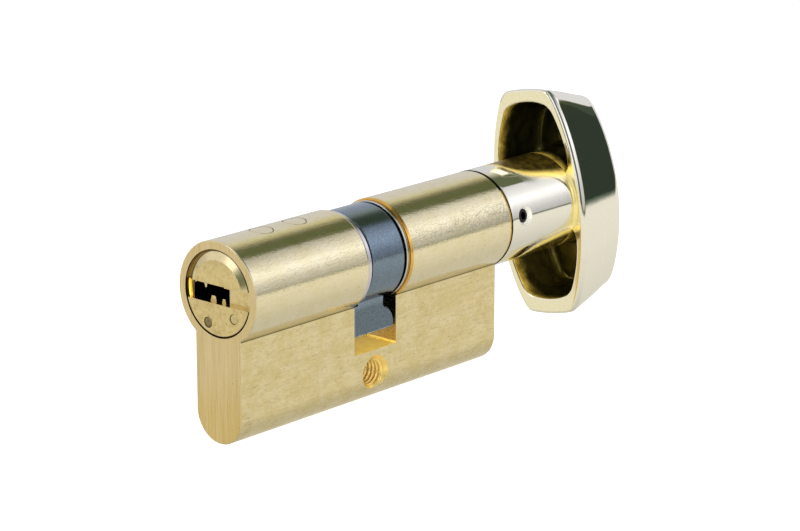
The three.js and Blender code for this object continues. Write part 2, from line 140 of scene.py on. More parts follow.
def prism_x(name, pts, x0, x1):
    return loft(name, [[(x, y, z) for y, z in pts] for x in (x0, x1)])


def prism_y(name, pts, y0, y1):
    return loft(name, [[(x, y, z) for x, z in pts] for y in (y0, y1)])


def block(name, x0, x1, y0, y1, z0, z1):
    return prism_x(name, [(y0, z0), (y1, z0), (y1, z1), (y0, z1)], x0, x1)


def join(name, obs):
    bm = bmesh.new()
    for o in obs:
        bm.from_mesh(o.data)
    me = bpy.data.meshes.new(name)
    bm.to_mesh(me)
    bm.free()
    for o in obs:
        bpy.data.objects.remove(o)
    ob = bpy.data.objects.new(name, me)
    bpy.context.scene.collection.objects.link(ob)
    return ob


def boolean(ob, other, op="DIFFERENCE", self_cut=False):
    m = ob.modifiers.new("b", "BOOLEAN")
    m.operation, m.solver, m.object = op, "EXACT", other
    m.use_self = self_cut
    m.use_hole_tolerant = False
    dg = bpy.context.evaluated_depsgraph_get()
    me = bpy.data.meshes.new_from_object(ob.evaluated_get(dg))
    ob.modifiers.clear()
    old = ob.data
    ob.data = me
    bpy.data.meshes.remove(old)
    bpy.data.objects.remove(other)
    bm = bmesh.new()
    bm.from_mesh(ob.data)
    bmesh.ops.remove_doubles(bm, verts=bm.verts, dist=2e-4)
    bmesh.ops.dissolve_degenerate(bm, edges=bm.edges, dist=2e-4)
    bm.to_mesh(ob.data)
    bm.free()
    return ob


def rounded(pts, radii, seg=6):
    """Rounds the corners of a closed polygon. radii is one number or one per point."""
    n = len(pts)
    if not hasattr(radii, "__len__"):
        radii = [radii] * n
    out = []
    for i, (p, r) in enumerate(zip(pts, radii)):
        p = Vector(p)
        a, b = Vector(pts[i - 1]), Vector(pts[(i + 1) % n])
        u, v = (a - p), (b - p)
        lu, lv = u.length, v.length
        if r <= 0 or lu < 1e-6 or lv < 1e-6:
            out.append(tuple(p))
            continue
        u.normalize()
        v.normalize()
        ang = math.acos(max(-1, min(1, u.dot(v))))
        if ang > PI - 0.02:
            out.append(tuple(p))
            continue
        t = min(r / math.tan(ang / 2), lu * 0.48, lv * 0.48)
        rr = t * math.tan(ang / 2)
        c = p + (u + v).normalized() * (rr / math.sin(ang / 2))
        p0, p1 = p + u * t, p + v * t
        a0 = math.atan2(p0.y - c.y, p0.x - c.x)
        a1 = math.atan2(p1.y - c.y, p1.x - c.x)
        d = (a1 - a0 + PI) % (2 * PI) - PI
        for k in range(seg + 1):
            q = a0 + d * k / seg
            out.append((c.x + rr * math.cos(q), c.y + rr * math.sin(q)))
    return out


def smooth_curve(pts, per=8, closed=False):
    """Catmull-Rom through 2-D points."""
    n = len(pts)
    P = [Vector(p) for p in pts]
    out = []
    last = n if closed else n - 1
    for i in range(last):
        p0 = P[(i - 1) % n] if closed or i > 0 else P[i] * 2 - P[i + 1]
        p1, p2 = P[i], P[(i + 1) % n]
        p3 = P[(i + 2) % n] if closed or i + 2 < n else P[i + 1] * 2 - P[i]
        for k in range(per):
            t = k / per
            q = 0.5 * ((2 * p1) + (p2 - p0) * t + (2 * p0 - 5 * p1 + 4 * p2 - p3) * t * t
                       + (3 * p1 - p0 - 3 * p2 + p3) * t * t * t)
            out.append(tuple(q))
    if not closed:
        out.append(tuple(P[-1]))
    return out


def finish_piece(ob, body, mats, replaces=(), sharp=30.0, analytic=None, pick=None):
    """mm to metres, sharp edges by angle, exact normals on turned faces, materials, and the ride."""
    me = ob.data
    co = np.empty(len(me.vertices) * 3, dtype=np.float64)
    me.vertices.foreach_get("co", co)
    mm = co.reshape(-1, 3)
    bm = bmesh.new()
    bm.from_mesh(me)
    lim = math.cos(math.radians(sharp))
    for e in bm.edges:
        if len(e.link_faces) == 2:
            e.smooth = e.link_faces[0].normal.dot(e.link_faces[1].normal) > lim
        else:
            e.smooth = False
    for f in bm.faces:
        f.smooth = True
    if pick:
        for f in bm.faces:
            f.material_index = pick(f.calc_center_median(), f.normal)
    bm.to_mesh(me)
    bm.free()
    # large faces keep their own direction where a small rounding meets them
    w = ob.modifiers.new("w", "WEIGHTED_NORMAL")
    w.mode, w.weight, w.keep_sharp = "FACE_AREA_WITH_ANGLE", 50, True
    flat = bpy.data.meshes.new_from_object(ob.evaluated_get(bpy.context.evaluated_depsgraph_get()))
    ob.modifiers.clear()
    normals = np.zeros(len(flat.loops) * 3)
    flat.corner_normals.foreach_get("vector", normals)
    normals = normals.reshape(-1, 3)
    bpy.data.meshes.remove(flat)
    if analytic:
        for p in me.polygons:
            fn = analytic(p.center, p.normal)
            if fn is None:
                continue
            for li in p.loop_indices:
                q = fn(mm[me.loops[li].vertex_index])
                if q is not None:
                    normals[li] = q
    me.transform(PLACE)
    me.normals_split_custom_set(normals.tolist())
    me.update()
    for m in (mats if isinstance(mats, (list, tuple)) else [mats]):
        me.materials.append(m)
    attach(ob, body)
    if replaces:
        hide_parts(*replaces)
    return ob


def turned_normals(axis, tol=0.12):
    """Exact normals for faces that belong to a surface turned about the given axis (cylinders and cones)."""
    k = {"x": 0, "y": 1, "z": 2}[axis]

    def probe(center, normal, at=(0, 0, 0)):
        c = Vector(center) - Vector(at)
        c[k] = 0
        if c.length < 1e-6:
            return None
        rad = c.normalized()
        n = Vector(normal)
        s = n.dot(rad)
        a = n[k]
        if s * s + a * a < 1 - 0.004 or abs(s) < 0.05:
            return None
        def at_vertex(v):
            q = Vector(v) - Vector(at)
            q[k] = 0
            if q.length < 1e-6:
                return None
            q.normalize()
            q = q * s
            q[k] = a
            return q.normalized()
        return at_vertex
    return probe


# ------------------------------------------------------------------ node helpers
class E:
    """A value in a node tree, so that shader formulas can be written as Python."""

    def __init__(self, tree, sock):
        self.t, self.s = tree, sock

    def _op(self, op, *args, clamp=False):
        n = self.t.nodes.new("ShaderNodeMath")
        n.operation = op
        n.use_clamp = clamp
        for i, a in enumerate((self,) + args):
            if isinstance(a, E):
                self.t.links.new(a.s, n.inputs[i])
            else:
                n.inputs[i].default_value = float(a)
        return E(self.t, n.outputs[0])

    def __add__(self, o): return self._op("ADD", o)
    __radd__ = __add__
    def __sub__(self, o): return self._op("SUBTRACT", o)
    def __rsub__(self, o): return const(self.t, o)._op("SUBTRACT", self)
    def __mul__(self, o): return self._op("MULTIPLY", o)
    __rmul__ = __mul__
    def __truediv__(self, o): return self._op("DIVIDE", o)
    def __neg__(self): return self._op("MULTIPLY", -1)
    def abs(self): return self._op("ABSOLUTE")
    def pow(self, p): return self._op("POWER", p)
    def max(self, o): return self._op("MAXIMUM", o)
    def min(self, o): return self._op("MINIMUM", o)
    def clamp(self): return self._op("ADD", 0.0, clamp=True)

    def step(self, a, b, lo=0.0, hi=1.0):
        n = self.t.nodes.new("ShaderNodeMapRange")
        n.interpolation_type = "SMOOTHSTEP"
        self.t.links.new(self.s, n.inputs["Value"])
        vals = (("From Min", a), ("From Max", b), ("To Min", lo), ("To Max", hi))
        if a > b:
            vals = (("From Min", b), ("From Max", a), ("To Min", hi), ("To Max", lo))
        for k, v in vals:
            n.inputs[k].default_value = v
        return E(self.t, n.outputs["Result"])

    def curve(self, stops, interp="LINEAR"):
        """Piecewise value from (position, value) pairs, at most 32."""
        lo, hi = stops[0][0], stops[-1][0]
        u = (self - lo) / (hi - lo)
        n = self.t.nodes.new("ShaderNodeFloatCurve")
        c = n.mapping.curves[0]
        top = max(v for _, v in stops)
        pts = [((p - lo) / (hi - lo), v / top) for p, v in stops]
        c.points[0].location = pts[0]
        c.points[1].location = pts[-1]
        for p in pts[1:-1]:
            c.points.new(*p)
        for p in c.points:
            p.handle_type = "VECTOR" if interp == "LINEAR" else "AUTO_CLAMPED"
        n.mapping.use_clip = False
        n.mapping.update()
        self.t.links.new(u.clamp().s, n.inputs["Value"])
        return E(self.t, n.outputs[0]) * top


def const(tree, v):
    n = tree.nodes.new("ShaderNodeValue")
    n.outputs[0].default_value = v
    return E(tree, n.outputs[0])


def rgb(tree, c):
    n = tree.nodes.new("ShaderNodeRGB")
    n.outputs[0].default_value = (*c, 1)
    return n.outputs[0]


def as_colour(tree, c):
    return c if isinstance(c, bpy.types.NodeSocket) else rgb(tree, c)


def mix(tree, f, a, b, mode="MIX"):
    n = tree.nodes.new("ShaderNodeMix")
    n.data_type = "RGBA"
    n.blend_type = mode
    n.clamp_factor = True
    if isinstance(f, E):
        tree.links.new(f.s, n.inputs[0])
    else:
        n.inputs[0].default_value = f
    tree.links.new(as_colour(tree, a), n.inputs[6])
    tree.links.new(as_colour(tree, b), n.inputs[7])
    return n.outputs[2]


def noise(tree, vec, scale=1.0, detail=3.0, rough=0.55, stretch=(1, 1, 1), seed=0.0, kind="FBM", lac=2.0):
    m = tree.nodes.new("ShaderNodeMapping")
    m.inputs["Scale"].default_value = stretch
    m.inputs["Location"].default_value = (seed * 3.7, seed * 1.3, seed * 2.1)
    tree.links.new(vec, m.inputs["Vector"])
    n = tree.nodes.new("ShaderNodeTexNoise")
    n.noise_type = kind
    n.inputs["Scale"].default_value = scale
    n.inputs["Detail"].default_value = detail
    n.inputs["Roughness"].default_value = rough
    n.inputs["Lacunarity"].default_value = lac
    tree.links.new(m.outputs[0], n.inputs["Vector"])
    return E(tree, n.outputs["Fac"])


def voronoi(tree, vec, scale, stretch=(1, 1, 1), feature="F1", rnd=1.0, seed=0.0):
    m = tree.nodes.new("ShaderNodeMapping")
    m.inputs["Scale"].default_value = stretch
    m.inputs["Location"].default_value = (seed * 2.9, seed * 4.1, seed * 1.9)
    tree.links.new(vec, m.inputs["Vector"])
    n = tree.nodes.new("ShaderNodeTexVoronoi")
    n.feature = feature
    n.inputs["Scale"].default_value = scale
    n.inputs["Randomness"].default_value = rnd
    tree.links.new(m.outputs[0], n.inputs["Vector"])
    return E(tree, n.outputs["Distance"]), n.outputs["Color"]


class Metal:
    """Start of a metal material: object coordinates in mm, normals, and one Principled node."""

    def __init__(self, name):
        self.m = bpy.data.materials.new(name)
        self.m.use_nodes = True
        t = self.t = self.m.node_tree
        t.nodes.clear()
        self.out = t.nodes.new("ShaderNodeOutputMaterial")
        self.p = t.nodes.new("ShaderNodeBsdfPrincipled")
        self.p.inputs["Metallic"].default_value = 1.0
        t.links.new(self.p.outputs[0], self.out.inputs["Surface"])
        tc = t.nodes.new("ShaderNodeTexCoord")
        sc = t.nodes.new("ShaderNodeVectorMath")
        sc.operation = "SCALE"
        sc.inputs["Scale"].default_value = 1000.0
        t.links.new(tc.outputs["Object"], sc.inputs[0])
        back = t.nodes.new("ShaderNodeVectorMath")
        back.operation = "SUBTRACT"
        back.inputs[1].default_value = SHIFT
        t.links.new(sc.outputs[0], back.inputs[0])
        self.v = back.outputs[0]
        sp = t.nodes.new("ShaderNodeSeparateXYZ")
        t.links.new(self.v, sp.inputs[0])
        self.x, self.y, self.z = (E(t, sp.outputs[i]) for i in range(3))
        # object-space normal
        sn = t.nodes.new("ShaderNodeSeparateXYZ")
        t.links.new(tc.outputs["Normal"], sn.inputs[0])
        self.nx, self.ny, self.nz = (E(t, sn.outputs[i]) for i in range(3))
        self.normal = None

    def n(self, *a, **k):
        return noise(self.t, self.v, *a, **k)

    def vor(self, *a, **k):
        return voronoi(self.t, self.v, *a, **k)

    def bevel(self, radius_mm, samples=4):
        b = self.t.nodes.new("ShaderNodeBevel")
        b.samples = samples
        b.inputs["Radius"].default_value = radius_mm * MM
        self.normal = b.outputs[0]
        # how far the rounded normal leans from the face: edges are painted brighter, partly as rubbed wear and partly
        # as a painted highlight, and are smoother
        g = self.t.nodes.new("ShaderNodeNewGeometry")
        d = self.t.nodes.new("ShaderNodeVectorMath")
        d.operation = "DOT_PRODUCT"
        self.t.links.new(b.outputs[0], d.inputs[0])
        self.t.links.new(g.outputs["Normal"], d.inputs[1])
        return E(self.t, d.outputs["Value"]).step(0.999, 0.86)

    def bump(self, height, strength, dist_mm):
        b = self.t.nodes.new("ShaderNodeBump")
        b.inputs["Strength"].default_value = strength
        b.inputs["Distance"].default_value = dist_mm * MM
        self.t.links.new(height.s, b.inputs["Height"])
        if self.normal:
            self.t.links.new(self.normal, b.inputs["Normal"])
        self.normal = b.outputs[0]

    def done(self, colour, rough, aniso=None, tangent=None):
        self.t.links.new(as_colour(self.t, colour), self.p.inputs["Base Color"])
        if isinstance(rough, E):
            self.t.links.new(rough.s, self.p.inputs["Roughness"])
        else:
            self.p.inputs["Roughness"].default_value = rough
        if self.normal:
            self.t.links.new(self.normal, self.p.inputs["Normal"])
        if aniso is not None:
            self.p.inputs["Anisotropic"].default_value = aniso
            if tangent is not None:
                self.t.links.new(tangent, self.p.inputs["Tangent"])
        return self.m


def srgb(r, g, b):
    return tuple((c / 255 / 12.92) if c / 255 <= 0.04045 else ((c / 255 + 0.055) / 1.055) ** 2.4 for c in (r, g, b))


# ------------------------------------------------------------------ materials
def housing_brass():
    k = Metal("housing_brass_drawn")
    t = k.t
    edge = k.bevel(0.10)
    face = k.nx.abs().step(0.75, 0.95)                 # end faces, milled
    web = k.z.step(-6.75, -7.0) * (1 - face)           # the flat sides, less polished than the barrel
    # drawing lines along X, broken up lengthwise
    fine = k.n(5.0, 3, 0.6, stretch=(0.05, 1, 1))
    coarse = k.n(1.5, 3, 0.6, stretch=(0.05, 1, 1), seed=2)
    # milling lines on the end faces run up and down
    mill = k.n(4.0, 3, 0.65, stretch=(1, 1, 0.03), seed=4)
    mill_wide = k.n(1.0, 2, 0.6, stretch=(1, 1, 0.02), seed=9)
    grain = k.n(5.0, 3, 0.7, seed=5)
    speck = k.n(2.6, 3, 0.62, stretch=(0.6, 1, 1), seed=33)
    cloud = k.n(0.30, 4, 0.62, seed=1)
    blotch = k.n(0.9, 4, 0.68, stretch=(0.55, 1, 1), seed=7)
    # scratches: thin creases of stretched noise, in two directions
    s1 = (k.n(1.0, 2, 0.5, stretch=(0.12, 1.7, 1.7), seed=11) - 0.5).abs().step(0.012, 0.0)
    s2 = (k.n(0.7, 2, 0.5, stretch=(0.3, 1.2, 1.9), seed=13) - 0.5).abs().step(0.008, 0.0)
    gate = k.n(0.4, 2, 0.5, seed=15).step(0.48, 0.60)
    scratch = (s1 * gate).max(s2 * (1.0 - gate).step(0.6, 0.95)) * (1 - face)
    d, _ = k.vor(0.8, seed=3)
    pits = d.step(0.13, 0.06) * k.n(0.5, 2, 0.5, seed=21).step(0.50, 0.64)
    streak = k.n(0.9, 3, 0.65, stretch=(0.18, 1, 1.6), seed=31)
    barrel_c = mix(t, cloud.step(0.35, 0.68), srgb(249, 237, 200), srgb(245, 232, 188))
    web_c = mix(t, cloud.step(0.40, 0.62), srgb(241, 225, 178), srgb(233, 215, 158))
    web_c = mix(t, streak.step(0.44, 0.70) * 0.55, web_c, srgb(224, 205, 148))
    colour = mix(t, web, barrel_c, web_c)
    colour = mix(t, speck.step(0.50, 0.74) * (0.12 + web * 0.42), colour, srgb(206, 188, 134))
    colour = mix(t, speck.step(0.44, 0.26) * (0.10 + web * 0.35), colour, srgb(252, 240, 204))
    colour = mix(t, blotch.step(0.52, 0.76) * (0.22 + web * 0.2), colour, srgb(218, 202, 150))
    face_c = mix(t, k.z.step(-11.0, -22.0), srgb(229, 207, 153), srgb(225, 198, 128))
    face_c = mix(t, mill_wide.step(0.42, 0.66) * 0.7, face_c, srgb(240, 214, 168))
    face_c = mix(t, mill.step(0.50, 0.68) * 0.5, face_c, srgb(198, 170, 104))
    face_c = mix(t, mill.step(0.46, 0.30) * 0.4, face_c, srgb(246, 226, 186))
    colour = mix(t, face, colour, face_c)
    colour = mix(t, scratch * (0.22 + web * 0.35), colour, srgb(164, 144, 88))
    colour = mix(t, pits * 0.5, colour, srgb(150, 132, 80))
    # edges painted lighter: partly rubbed wear, partly painted highlight
    colour = mix(t, edge * 0.7, colour, srgb(252, 238, 196))
    # painted shade: the barrel is painted darker where it meets the web, with a fine painted dark line in the corner
    side = (1 - face) * k.y.abs().step(4.8, 4.95)
    colour = mix(t, side * k.z.step(-5.9, -6.8) * k.z.step(-6.97, -6.9) * 0.65, colour, srgb(126, 118, 72))
    colour = mix(t, side * k.z.step(-6.62, -6.74) * k.z.step(-7.02, -6.93) * 0.75, colour, srgb(112, 98, 48))
    # painted reflection: the broken edge beyond the cam is painted with the gold of the cut slot it reflects
    lip = k.x.step(4.88, 4.94) * k.x.step(5.50, 5.44) * k.z.step(-7.0, -6.6)
    colour = mix(t, lip * 0.85, colour, srgb(246, 190, 66))
    rough = 0.085 + fine * 0.03 + grain * 0.02 + web * 0.09 + blotch.step(0.45, 0.7) * 0.04 + face * 0.13 - edge * 0.04 + pits * 0.1
    height = (fine * 0.35 + coarse * 0.9) * (1 - face) + mill * 0.9 * face + grain * (0.5 + web * 0.6) + speck * (4.0 - face * 3.0) * (1 - web * 0.3) - scratch * 0.7 - pits * 1.0 + blotch * (0.8 + web * 1.6)
    k.bump(height, 0.22, 0.02)
    return k.done(colour, rough)


def milled_brass(name, metallic, pale):
    """Freshly cut brass inside the slot, the bores and the thread: more saturated than the skin."""
    k = Metal(name)
    t = k.t
    edge = k.bevel(0.05)
    lines = k.n(4.0, 3, 0.6, stretch=(1, 0.1, 1), seed=3)
    grain = k.n(5.0, 3, 0.65, seed=5)
    tone = k.n(0.7, 3, 0.6, seed=8)
    colour = mix(t, tone.step(0.35, 0.68), srgb(255, 218, 104), srgb(250, 204, 78))
    colour = mix(t, lines.step(0.50, 0.72) * 0.5, colour, srgb(222, 172, 58))
    colour = mix(t, pale, colour, srgb(246, 226, 164))
    # edges painted lighter: partly rubbed wear, partly painted highlight
    colour = mix(t, edge * 0.5, colour, srgb(252, 232, 160))
    k.p.inputs["Metallic"].default_value = metallic
    k.bump(lines * 0.7 + grain * 0.5, 0.3, 0.02)
    return k.done(colour, 0.24 + grain * 0.1)


def bore_mouth():
    """The wall of the gap round the plug, oiled and painted dark as the shade in the gap; brighter only where the
    milled slot opens it, as a band of painted light.
    """
    k = Metal("housing_brass_bore_mouth")
    t = k.t
    grain = k.n(4.0, 3, 0.6, seed=3)
    tone = k.n(1.1, 3, 0.6, seed=8)
    # painted shade: the gap wall is dark brown
    colour = mix(t, tone.step(0.35, 0.68), srgb(52, 43, 20), srgb(34, 29, 14))
    shut = 1.0 - k.z.step(-1.75, -1.45) * k.z.step(1.6, 1.3)
    colour = mix(t, shut * k.x.step(-30.84, -30.74) * 0.9, colour, srgb(206, 182, 124))
    # painted light: a lighter band on the wall where the milled slot lets light in
    slot_light = (1.0 - shut) * k.x.step(-30.66, -30.56) * k.x.step(-30.16, -30.30)
    colour = mix(t, slot_light * 0.9, colour, srgb(128, 100, 42))
    k.bump(grain, 0.2, 0.02)
    return k.done(colour, 0.34 + grain * 0.1)


def plug_brass():
    k = Metal("plug_brass_turned")
    t = k.t
    edge = k.bevel(0.07)
    r = (k.y * k.y + k.z * k.z).pow(0.5)
    n = t.nodes.new("ShaderNodeCombineXYZ")
    t.links.new(r.s, n.inputs[0])
    rings = noise(t, n.outputs[0], 5.0, 3, 0.6)
    cone = k.nx.step(-0.97, -0.90) * k.z.step(1.2, 1.5)
    low = k.z.step(-1.5, -1.9)
    spot = k.n(1.3, 4, 0.65, seed=3)
    stain = k.n(0.7, 4, 0.7, seed=8)
    mark = k.n(1.6, 3, 0.6, seed=19)
    grain = k.n(5, 3, 0.7, seed=5)
    colour = mix(t, spot.step(0.38, 0.68), srgb(232, 212, 154), srgb(222, 198, 136))
    colour = mix(t, stain.step(0.50, 0.66) * 0.45, colour, srgb(196, 170, 112))
    colour = mix(t, mark.step(0.60, 0.70) * low * 0.55, colour, srgb(150, 128, 84))
    colour = mix(t, cone, colour, srgb(246, 230, 184))
    # edges painted lighter: partly rubbed wear, partly painted highlight
    colour = mix(t, edge * 0.7, colour, srgb(252, 238, 196))
    # the cone's outer edge is in shadow, more of it on the side of the plug that stands behind the mouth
    brink = (r - (k.y * 0.043).min(0.0) - 6.70).step(-0.03, 0.04) * k.y.step(3.0, 0.0) * k.z.step(1.0, 1.4) * k.x.step(-29.6, -29.7)
    colour = mix(t, brink * 0.95, colour, srgb(28, 24, 12))
    # painted shade: surfaces inside the keyway darken with depth behind the face
    inner = k.x.step(-30.05, -29.1) * r.step(6.7, 6.5) * k.x.step(-7.5, -9.0)
    colour = mix(t, inner * 0.9, colour, srgb(40, 34, 18))
    rough = 0.17 + grain * 0.06 + stain.step(0.5, 0.72) * 0.10 - cone * 0.06
    k.bump(rings * 0.5 + grain * 0.4 + spot * 0.9, 0.25, 0.02)
    return k.done(colour, rough)


# where the cast skin runs out along the stem: (x, degrees either side of upright)
RUNOUT = [(36.1, 0.0), (36.3, 11.0), (36.7, 22.0), (37.4, 32.0), (38.4, 38.5), (39.6, 42.8), (41.2, 46.3), (43.0, 49.0), (45.0, 51.8), (47.0, 54.2), (60.0, 55.0)]


def knob_brass():
    k = Metal("knob_brass_polished")
    t = k.t
    edge = k.bevel(0.14)
    peel = k.n(0.55, 2, 0.5, seed=2)
    haze = k.n(2.5, 4, 0.6, seed=6)
    hair = (k.n(2.4, 2, 0.5, stretch=(0.25, 1.4, 1.4), seed=4) - 0.5).abs().step(0.004, 0.0)
    d, _ = k.vor(1.15, seed=5)
    specks = d.step(0.05, 0.02) * k.n(0.7, 2, 0.5, seed=12).step(0.5, 0.6)
    colour = mix(t, haze.step(0.35, 0.7) * 0.6, srgb(252, 249, 235), srgb(250, 243, 222))
    rim = k.nx.step(-0.80, -0.985)
    colour = mix(t, rim, colour, mix(t, haze.step(0.35, 0.7), srgb(255, 249, 216), srgb(254, 243, 202)))
    # edges painted lighter: partly rubbed wear, partly painted highlight
    colour = mix(t, edge * 0.3, colour, srgb(255, 246, 214))
    # the cast skin on top of and under the stem, with the polish fading into it; the bright gold band where the polish
    # runs out is a painted reflection, and the skin's dark olive is partly painted shade
    c, s = math.cos(-KNOB_TURN), math.sin(-KNOB_TURN)
    ry, rz = k.y * c - k.z * s, k.y * s + k.z * c
    r = (ry * ry + rz * rz).pow(0.5)
    dev = (rz.abs() / r.max(0.01)).min(1.0)._op("ARCCOSINE") * (180 / PI)
    half = k.x.curve(RUNOUT)
    m = ((half - dev) * (8.55 * PI / 180)).min(k.x - RUNOUT[0][0]) + (k.n(1.6, 3, 0.6, seed=41) - 0.5) * 0.5
    stem = r.step(8.75, 8.66) * r.step(8.0, 8.1) * k.x.step(48.4, 48.2)
    warm = m.step(-1.5, 0.1) * stem
    skin = m.step(0.1, 1.5) * stem
    grain = k.n(3.2, 4, 0.7, seed=1)
    lump = k.n(0.9, 3, 0.6, seed=3)
    # painted reflection: bright gold on the band where the polish runs out
    colour = mix(t, warm, colour, srgb(250, 222, 118))
    # real cast skin, darkened with painted shade
    colour = mix(t, skin, colour, mix(t, lump.step(0.4, 0.62), srgb(134, 110, 42), srgb(84, 72, 29)))
    # painted shade: the stem's end chamfer at the seam with the barrel is painted dark
    colour = mix(t, k.x.step(31.05, 30.99), colour, srgb(38, 33, 18))
    fil = k.x.step(47.45, 47.6) * k.x.step(48.3, 48.15) * r.step(9.6, 9.3) * (1 - warm)
    colour = mix(t, fil * 0.85, colour, srgb(226, 206, 120))
    t.links.new((1.0 - warm * (1.0 - skin * 0.65) * 0.62 - fil * 0.3).s, k.p.inputs["Metallic"])
    rough = 0.035 + fil * 0.08 + rim * 0.06 + haze * 0.02 + hair * 0.04 + specks * 0.08 + m.step(-4.6, -1.8) * stem * k.x.step(42.0, 39.5) * 0.16 + warm * 0.11 - skin * 0.03 + grain * skin * 0.08
    k.bump(peel * 0.7 + hair * -0.02 + specks * -0.05 + (grain * 0.45 + lump * 1.2) * warm, 0.14, 0.05)
    return k.done(colour, rough)


def knob_pocket():
    k = Metal("knob_pocket_cast")
    t = k.t
    grain = k.n(1.6, 3, 0.6, seed=1)
    lump = k.n(0.5, 3, 0.6, seed=3)
    # painted shade: the pocket is painted darker with depth from its gold mouth
    depth_shade = (k.x + lump * 2.2).step(48.9, 52.0)
    gold = mix(t, lump.step(0.35, 0.7), srgb(240, 206, 92), srgb(214, 174, 58))
    dark = mix(t, lump.step(0.38, 0.66), srgb(76, 72, 34), srgb(48, 48, 23))
    # the painted shade is lighter in the lower pocket than in the upper
    dark = mix(t, k.z.step(0.0, -6.0), dark, mix(t, lump.step(0.38, 0.66), srgb(122, 110, 50), srgb(84, 76, 34)))
    colour = mix(t, depth_shade, gold, dark)
    rough = 0.17 + grain * 0.12 - depth_shade * 0.03
    k.t.links.new((0.52 + depth_shade * 0.40).s, k.p.inputs["Metallic"])
    k.bump(grain * 0.9 + lump * 2.4, 0.30, 0.06)
    return k.done(colour, rough)


def cam_steel():
    k = Metal("cam_steel_sintered")
    t = k.t
    edge = k.bevel(0.16)
    g1 = k.n(3.4, 3, 0.8, seed=1)
    g2 = k.n(2.2, 3, 0.6, seed=4)
    d, _ = k.vor(4.5, seed=2)
    grain_glint = k.n(7.0, 2, 0.5, seed=9).step(0.62, 0.72)
    cloud = k.n(0.5, 3, 0.6, seed=6)
    lug = k.ny.abs().step(0.97, 0.995) * k.z.step(-7.0, -8.0)
    colour = mix(t, g1.step(0.3, 0.7), srgb(119, 134, 147), srgb(139, 156, 172))
    colour = mix(t, cloud.step(0.4, 0.7) * 0.35, colour, srgb(122, 133, 140))
    colour = mix(t, lug * 0.7, colour, mix(t, g2.step(0.35, 0.65), srgb(88, 101, 110), srgb(112, 125, 134)))
    # painted glints: pale flecks on the sintered grain
    colour = mix(t, grain_glint * 0.45, colour, srgb(208, 220, 232))
    # edges painted lighter: partly rubbed wear, partly painted highlight
    colour = mix(t, edge * 0.75, colour, srgb(216, 224, 232))
    # painted highlight along the lug's rounded bottom edge, broken up by noise
    edge_highlight = k.z.step(-11.94, -12.06) * k.n(3.0, 2, 0.5, seed=13).step(0.42, 0.58)
    colour = mix(t, edge_highlight * 0.8, colour, srgb(222, 229, 236))
    rough = 0.115 + g2 * 0.05 - grain_glint * 0.03 + lug * 0.13
    k.bump(g1 * 1.2 + d * 0.5 + g2 * 0.6, 0.34, 0.03)
    return k.done(colour, rough)


def steel(name, base, alt, r0, grain_scale=8.0, stretch=(1, 1, 1), bump=0.2):
    k = Metal(name)
    t = k.t
    edge = k.bevel(0.06)
    g = k.n(grain_scale, 3, 0.65, stretch=stretch, seed=1)
    c = k.n(1.1, 3, 0.6, seed=5)
    colour = mix(t, g.step(0.3, 0.7), base, alt)
    colour = mix(t, c.step(0.5, 0.72) * 0.3, colour, tuple(v * 0.75 for v in base))
    # edges painted lighter: partly rubbed wear, partly painted highlight
    colour = mix(t, edge * 0.5, colour, tuple(min(1.0, v * 1.25 + 0.04) for v in base))
    k.bump(g + c, bump, 0.02)
    return k.done(colour, r0 + g * 0.08)


def ring_beside_brass():
    """The rear ring: bright steel on the cam side; towards the barrel edge it lies against, painted with a dark line of
    shade and then the brass's gold as a painted reflection.
    """
    k = Metal("ring_steel_rear")
    t = k.t
    edge = k.bevel(0.06)
    g = k.n(6.0, 3, 0.65, seed=1)
    colour = mix(t, g.step(0.3, 0.7), srgb(214, 212, 206), srgb(230, 226, 216))
    # painted shade, then painted reflection of the brass edge beside the ring
    colour = mix(t, k.x.step(4.50, 4.62), colour, srgb(120, 96, 40))
    colour = mix(t, k.x.step(4.70, 4.82), colour, srgb(232, 184, 76))
    # edges painted lighter: partly rubbed wear, partly painted highlight
    colour = mix(t, edge * 0.3, colour, srgb(240, 232, 210))
    k.bump(g, 0.2, 0.02)
    return k.done(colour, 0.18 + g * 0.08)


M_HOUSING = housing_brass()
M_MILLED = milled_brass("housing_brass_milled", 0.05, 0.0)
M_THREAD = milled_brass("housing_brass_tapped", 0.82, 0.35)
M_MOUTH = bore_mouth()
M_PLUG = plug_brass()
M_KNOB = knob_brass()
M_POCKET = knob_pocket()
# painted reflection: the brass screw seat is painted pale grey and made mostly diffuse, standing in for the pale ring
# of reflected light
M_SEAT = steel("screw_seat_brass_painted_pale", srgb(186, 184, 170), srgb(204, 201, 188), 0.3, 4.0)
M_SEAT.node_tree.nodes["Principled BSDF"].inputs["Metallic"].default_value = 0.25
M_CAM = cam_steel()
M_RING = steel("ring_steel_plated", srgb(222, 220, 224), srgb(236, 230, 234), 0.16, 6.0)
M_RING2 = ring_beside_brass()
M_PIN = steel("pin_steel_ground", srgb(198, 200, 204), srgb(218, 219, 222), 0.2, 10.0, (1, 1, 0.1))
M_PINBRASS = steel("pin_brass_turned", srgb(222, 190, 118), srgb(232, 204, 140), 0.2, 10.0, (1, 1, 8))
M_SPRING = steel("spring_wire_drawn", srgb(196, 199, 204), srgb(214, 216, 220), 0.18, 12.0)
M_DRILL = steel("drill_pin_hardened", srgb(128, 114, 78), srgb(166, 148, 104), 0.36, 1.6, bump=0.8)
M_DRILL2 = steel("drill_pin_staked", srgb(226, 207, 152), srgb(208, 188, 134), 0.26, 2.0, bump=0.6)
M_BLACK = steel("screw_black_oxide", srgb(48, 49, 52), srgb(70, 70, 72), 0.3, 9.0)
M_COUPLER = steel("coupler_steel", srgb(190, 192, 196), srgb(210, 211, 214), 0.22, 7.0)


